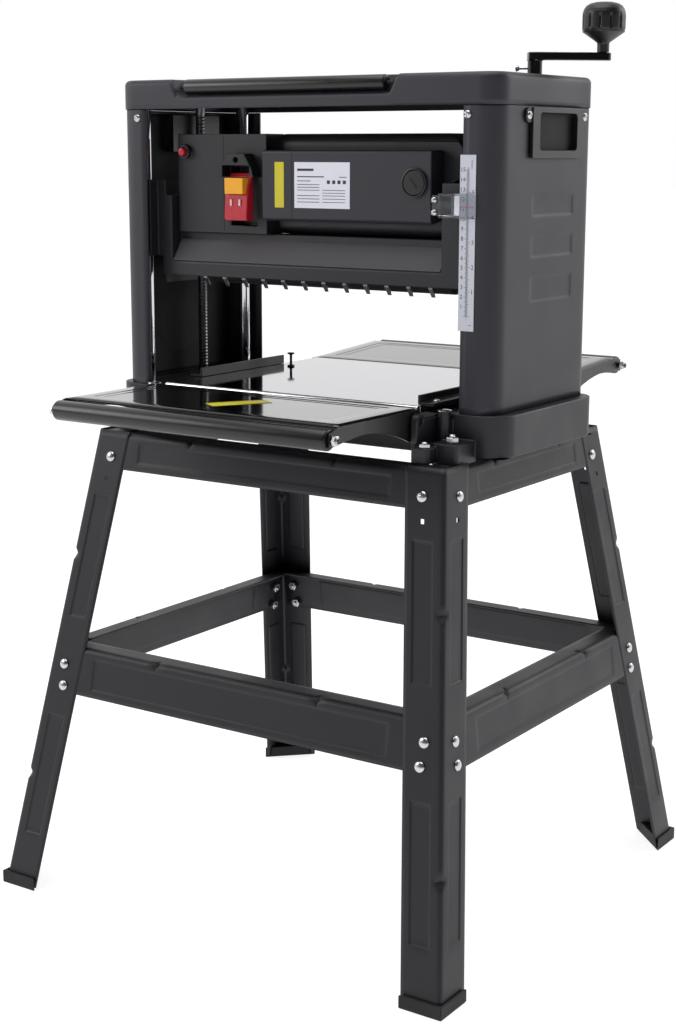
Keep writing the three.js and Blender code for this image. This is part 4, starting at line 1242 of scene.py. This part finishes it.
def make_windings(armature):
    """Copper on the armature's faces inside the motor. Its shaft and pulley outside stay steel."""
    armature.data.materials.append(finish("varnished_copper"))
    mouth = low("motor_housing")[0]
    for face in armature.data.polygons:
        face.material_index = 1 if face.center[0] > mouth else 0


def make_end_shield():
    """The moulded shield in the motor's open end: a ring round the shaft, whose depth follows the
    radius as a low dome, with a row of sunken slots round it."""
    shaft, mouth = middle("motor_armature"), low("motor_housing")[0]
    sides, slots = 144, 12
    rim, hub, thick = 40.5 * MM, 10 * MM, 2.4 * MM
    reach = np.linspace(hub, rim, 24)
    dome = 3 * MM * (1 - ((reach - hub) / (rim - hub)) ** 2)
    loop = np.concatenate([reach, reach[::-1], reach[:1]])
    depth = np.concatenate([-dome, (thick - dome)[::-1], -dome[:1]])
    angle = np.linspace(0, 2 * math.pi, sides, endpoint=False)
    slot = window((angle * slots / (2 * math.pi)) % 1, 0.28, 0.72, 0.06)
    face = np.concatenate([window(reach, hub + 7 * MM, rim - 5 * MM), np.zeros(len(reach) + 1)])
    sunk = 1.2 * MM * face[:, None] * slot[None, :]
    points = np.stack([
        np.repeat(mouth + 4 * MM + depth[:, None], sides, axis=1) + sunk,
        shaft[1] + loop[:, None] * np.cos(angle),
        shaft[2] + loop[:, None] * np.sin(angle),
    ], axis=-1)
    made = piece("motor_end_shield", grid(points, wrap=True), "moulded_abs", "carriage")
    weld(made, 0.00001)


# ---- controls --------------------------------------------------------------------------------------
class PLANER_OT_controls(bpy.types.Operator):
    """Switch box, paddle, key, reset button, depth scale and pointer"""

    bl_idname = "planer.controls"
    bl_label = "Controls"

    def execute(self, context):
        sizes = context.scene.planer_sizes
        softened("switch_box", "painted_casting", 0.8 * MM)
        softened("switch_guard", "moulded_abs", 0.8 * MM)
        softened("switch_paddle", "red_abs", 1.2 * MM, segments=3)
        softened("safety_key", "yellow_abs", 1.0 * MM, segments=3)
        make_switch_marks()
        make_reset_button()
        dress("depth_ruler", "scale_film")
        make_scale(sizes)
        make_pointer()
        return {"FINISHED"}


SWITCH_SEAM = -123 * MM  # where the switch box's seam is from side to side


def make_switch_marks():
    """Two small pale marks on the paddle, and the seam of the switch box as a strip of painted shade."""
    paddle_low, paddle_high = low("switch_paddle"), high("switch_paddle")
    centre = (paddle_low[0] + paddle_high[0]) / 2
    marks = [plate((centre + s * 6 * MM - 1.1 * MM, centre + s * 6 * MM + 1.1 * MM),
                   (paddle_low[1] - 0.1 * MM, paddle_low[1] + 1.2 * MM),
                   (paddle_low[2] + 17 * MM, paddle_low[2] + 24 * MM)) for s in (-1, 1)]
    piece("paddle_marks", together(marks), "pale_ink", "paddle")
    box_low, box_high = low("switch_box"), high("switch_box")
    # Painted shade: a near-black strip standing in for the shadowed groove of the box's seam.
    face = box_low[1] + 6 * MM
    seam = plate((SWITCH_SEAM - 0.4 * MM, SWITCH_SEAM + 0.4 * MM), (face - 0.08 * MM, face),
                 (box_low[2], box_high[2] - 1 * MM))
    piece("switch_box_seam_shade", seam, "deep_shadow_seam", "carriage")


def make_reset_button():
    """The overload reset button: a short pin with a softly domed end."""
    node = "reset_button"
    box_low, box_high = low(node), high(node)
    centre = (box_low + box_high) / 2
    radius = (box_high[0] - box_low[0]) / 2
    button = rounded_rod(radius, 0, box_high[1] - box_low[1], 1.2 * MM, 32)
    piece("reset_button_moulded", placed(button, [centre[0], box_high[1], centre[2]], (0, -1, 0)),
          "red_abs", "reset", [node])


def numerals(values, size, at):
    """Numbers as flat shapes standing on the XZ plane, centred at the places that at(value) gives."""
    shapes = []
    for value in values:
        text = bpy.data.curves.new("numeral", "FONT")
        text.body = str(value)
        text.size = size
        text.align_x = "CENTER"
        text.align_y = "CENTER"
        text.resolution_u = 2
        holder = bpy.data.objects.new("numeral", text)
        bpy.context.scene.collection.objects.link(holder)
        mesh = bpy.data.meshes.new_from_object(holder.evaluated_get(
            bpy.context.evaluated_depsgraph_get()))
        flat = np.zeros(len(mesh.vertices) * 3)
        mesh.vertices.foreach_get("co", flat)
        flat = flat.reshape(-1, 3)
        upright = np.stack([flat[:, 0], 0 * flat[:, 0], flat[:, 1]], axis=1) + at(value)
        shapes.append((upright, [list(face.vertices) for face in mesh.polygons]))
        bpy.data.objects.remove(holder)
        bpy.data.meshes.remove(mesh)
    return together(shapes)


SCALE_ZERO = 694.3  # height of the depth scale's nought, in millimetres


def make_scale(sizes):
    """The depth scale's marks: millimetres left of a centre line and sixteenths of an inch right of
    it, with longer marks at each half and whole, and generic numerals beside them."""
    ruler_low, ruler_high = low("depth_ruler"), high("depth_ruler")
    face = ruler_low[1]
    centre = ruler_low[0] + 9.6 * MM
    proud = (face - 0.06 * MM, face + 0.02 * MM)
    marks = []
    for k in range(151):
        reach = 3.4 if k % 10 == 0 else 2.4 if k % 5 == 0 else 1.6
        z = (SCALE_ZERO + k) * MM
        marks.append(plate((centre - reach * MM, centre), proud, (z - sizes.tick / 2, z + sizes.tick / 2)))
    for k in range(6 * 16):
        reach = 3.4 if k % 16 == 0 else 2.4 if k % 8 == 0 else 1.4
        z = (SCALE_ZERO + k * 25.4 / 16) * MM
        marks.append(plate((centre + 0.5 * MM, centre + (0.5 + reach) * MM), proud,
                           (z - sizes.tick / 2, z + sizes.tick / 2)))
    line = plate((centre, centre + 0.3 * MM), proud,
                 ((SCALE_ZERO - 3) * MM, (SCALE_ZERO + 153) * MM))
    marks.append(line)
    marks.append(plate((centre + 4 * MM, centre + 4.6 * MM), proud,
                       (ruler_high[2] - 14 * MM, ruler_high[2] - 5 * MM)))
    marks.append(plate((centre + 3 * MM, centre + 6 * MM), proud,
                       (ruler_low[2] + 6 * MM, ruler_low[2] + 6.6 * MM)))
    piece("scale_marks", together(marks), "printing_ink", "frame")
    lift = face - 0.05 * MM
    metric = numerals(range(1, 16), 6.4 * MM, lambda v: np.array(
        [ruler_low[0] + 3.4 * MM, lift, (SCALE_ZERO + v * 10) * MM]))
    inches = numerals(range(1, 6), 6.6 * MM, lambda v: np.array(
        [ruler_high[0] - 2.6 * MM, lift, (SCALE_ZERO + v * 25.4) * MM]))
    piece("scale_numerals", together([metric, inches]), "printing_ink", "frame",
          wall=0.02 * MM)


def make_pointer():
    """The clear pointer with its red line and its two screws."""
    softened("depth_pointer", "clear_acrylic", 0.5 * MM)
    box_low, box_high = low("depth_pointer"), high("depth_pointer")
    level = (box_low[2] + box_high[2]) / 2 - 0.7 * MM
    line = plate((box_high[0] - 19 * MM, box_high[0] - 2 * MM),
                 (box_low[1] - 0.08 * MM, box_low[1]), (level - 0.3 * MM, level + 0.3 * MM))
    piece("pointer_line", line, "red_line_ink", "carriage")
    head = crossed(3.4 * MM, 2 * MM)
    screws = [placed(head, [box_low[0] + 3.6 * MM, box_low[1], level + s * 6.5 * MM], (0, -1, 0))
              for s in (-1, 1)]
    piece("pointer_screws", together(screws), "zinc_plate", "carriage")


# ---- stage --------------------------------------------------------------------------------------
class PLANER_OT_stage(bpy.types.Operator):
    """Pale floor, soft studio light and the camera"""

    bl_idname = "planer.stage"
    bl_label = "Stage"

    def execute(self, context):
        stage = context.scene.planer_stage
        make_camera(context, stage)
        make_floor()
        make_world(context.scene, stage)
        make_lights(stage)
        context.scene.view_settings.view_transform = "Standard"
        return {"FINISHED"}


def make_camera(context, stage):
    """The camera: rolled about its line of sight, then tilted down, then turned about Z."""
    camera = bpy.data.cameras.new("camera")
    camera.lens = stage.lens
    camera.sensor_width = 36
    holder = bpy.data.objects.new("camera", camera)
    context.scene.collection.objects.link(holder)
    turn = Matrix.Rotation(stage.yaw, 4, "Z") @ Matrix.Rotation(math.pi / 2 - stage.pitch, 4, "X")
    turn = turn @ Matrix.Rotation(stage.roll, 4, "Z")
    holder.matrix_world = Matrix.Translation(Vector(stage.place) + Vector(MIDDLE)) @ turn
    context.scene.camera = holder


def make_floor():
    """A wide pale floor as a disc of rings, lit partly by its own glow so that it stays even."""
    ring = np.linspace(0, 2 * math.pi, 96, endpoint=False)
    reach = np.array([0.0005, 0.5, 1, 2, 4, 8, 16, 40])[:, None]
    points = np.stack([reach * np.cos(ring), reach * np.sin(ring), 0 * reach * ring - 0.0003], axis=-1)
    mesh = bpy.data.meshes.new("floor")
    vertices, faces = grid(points, wrap=True)
    mesh.from_pydata(vertices.tolist(), [], faces)
    material = grained("studio_floor", "#a8a8aa", "#a3a3a5", (0.7, 0.8), 4, 0.02, IOR=1.2)
    shader = material.node_tree.nodes["Principled BSDF"]
    shader.inputs["Emission Color"].default_value = (1, 1, 1, 1)
    shader.inputs["Emission Strength"].default_value = 0.85
    mesh.materials.append(material)
    floor = bpy.data.objects.new("floor", mesh)
    bpy.context.scene.collection.objects.link(floor)


def make_world(scene, stage):
    """White all round for the camera; as light it is bright behind the object and dimmer behind the
    camera, by the angle from the line of sight."""
    world = bpy.data.worlds.new("studio")
    world.use_nodes = True
    scene.world = world
    tree = world.node_tree
    background = tree.nodes["Background"]
    place = add(tree, "ShaderNodeTexCoord")
    away = (-math.sin(stage.yaw), math.cos(stage.yaw), 0.0)
    facing = add(tree, "ShaderNodeVectorMath", {"operation": "DOT_PRODUCT", 1: away},
                 {0: (place, "Generated")})
    level = add(tree, "ShaderNodeMapRange", {"From Min": -0.5, "From Max": 0.55, "To Min": 0.045,
                "To Max": 1.0, "interpolation_type": "SMOOTHSTEP"}, {"Value": (facing, "Value")})
    ray = add(tree, "ShaderNodeLightPath")
    shown = add(tree, "ShaderNodeMath", {"operation": "MAXIMUM"},
                {0: (level, "Result"), 1: (ray, "Is Camera Ray")})
    background.inputs["Color"].default_value = (1, 1, 1, 1)
    tree.links.new(shown.outputs[0], background.inputs["Strength"])


def make_lights(stage):
    """Soft boxes to the left, to the right and overhead, each aimed at the middle of the machine."""
    aim = Vector((0, 0, 0.6))
    boxes = (
        ("left_box", (-2.6, -2.2, 2.0), 1.6, 34),
        ("right_box", (1.9, 2.6, 2.1), 1.8, 26),
        ("top_box", (0.1, -0.6, 3.0), 2.2, 38),
    )
    for name, at, size, watts in boxes:
        light = bpy.data.lights.new(name, "AREA")
        light.shape = "SQUARE"
        light.size = size
        light.energy = watts * stage.light
        holder = bpy.data.objects.new(name, light)
        bpy.context.scene.collection.objects.link(holder)
        back = Vector(at) - aim
        holder.matrix_world = Matrix.Translation(at) @ back.to_track_quat("Z", "Y").to_matrix().to_4x4()


# ---- add-on ---------------------------------------------------------------------------------------
OPERATORS = (
    PLANER_OT_stage, PLANER_OT_stand, PLANER_OT_tables, PLANER_OT_housings, PLANER_OT_lift,
    PLANER_OT_carriage, PLANER_OT_controls, PLANER_OT_fasteners,
)


class PLANER_PT_panel(bpy.types.Panel):
    """Lists the planer's pieces and the settings they read."""

    bl_idname = "PLANER_PT_panel"
    bl_label = "Thickness planer"
    bl_space_type = "VIEW_3D"
    bl_region_type = "UI"
    bl_category = "Planer"

    def draw(self, context):
        for group in (context.scene.planer_sizes, context.scene.planer_stage):
            for name in group.__annotations__:
                self.layout.prop(group, name)
        for operator in OPERATORS:
            self.layout.operator(operator.bl_idname)


CLASSES = (PlanerSizes, PlanerStage, *OPERATORS, PLANER_PT_panel)


def register():
    for each in CLASSES:
        bpy.utils.register_class(each)
    bpy.types.Scene.planer_sizes = bpy.props.PointerProperty(type=PlanerSizes)
    bpy.types.Scene.planer_stage = bpy.props.PointerProperty(type=PlanerStage)


def unregister():
    del bpy.types.Scene.planer_stage
    del bpy.types.Scene.planer_sizes
    for each in reversed(CLASSES):
        bpy.utils.unregister_class(each)


def main():
    register()
    for operator in OPERATORS:
        group, name = operator.bl_idname.split(".")
        getattr(getattr(bpy.ops, group), name)()


if __name__ == "__main__":
    main()
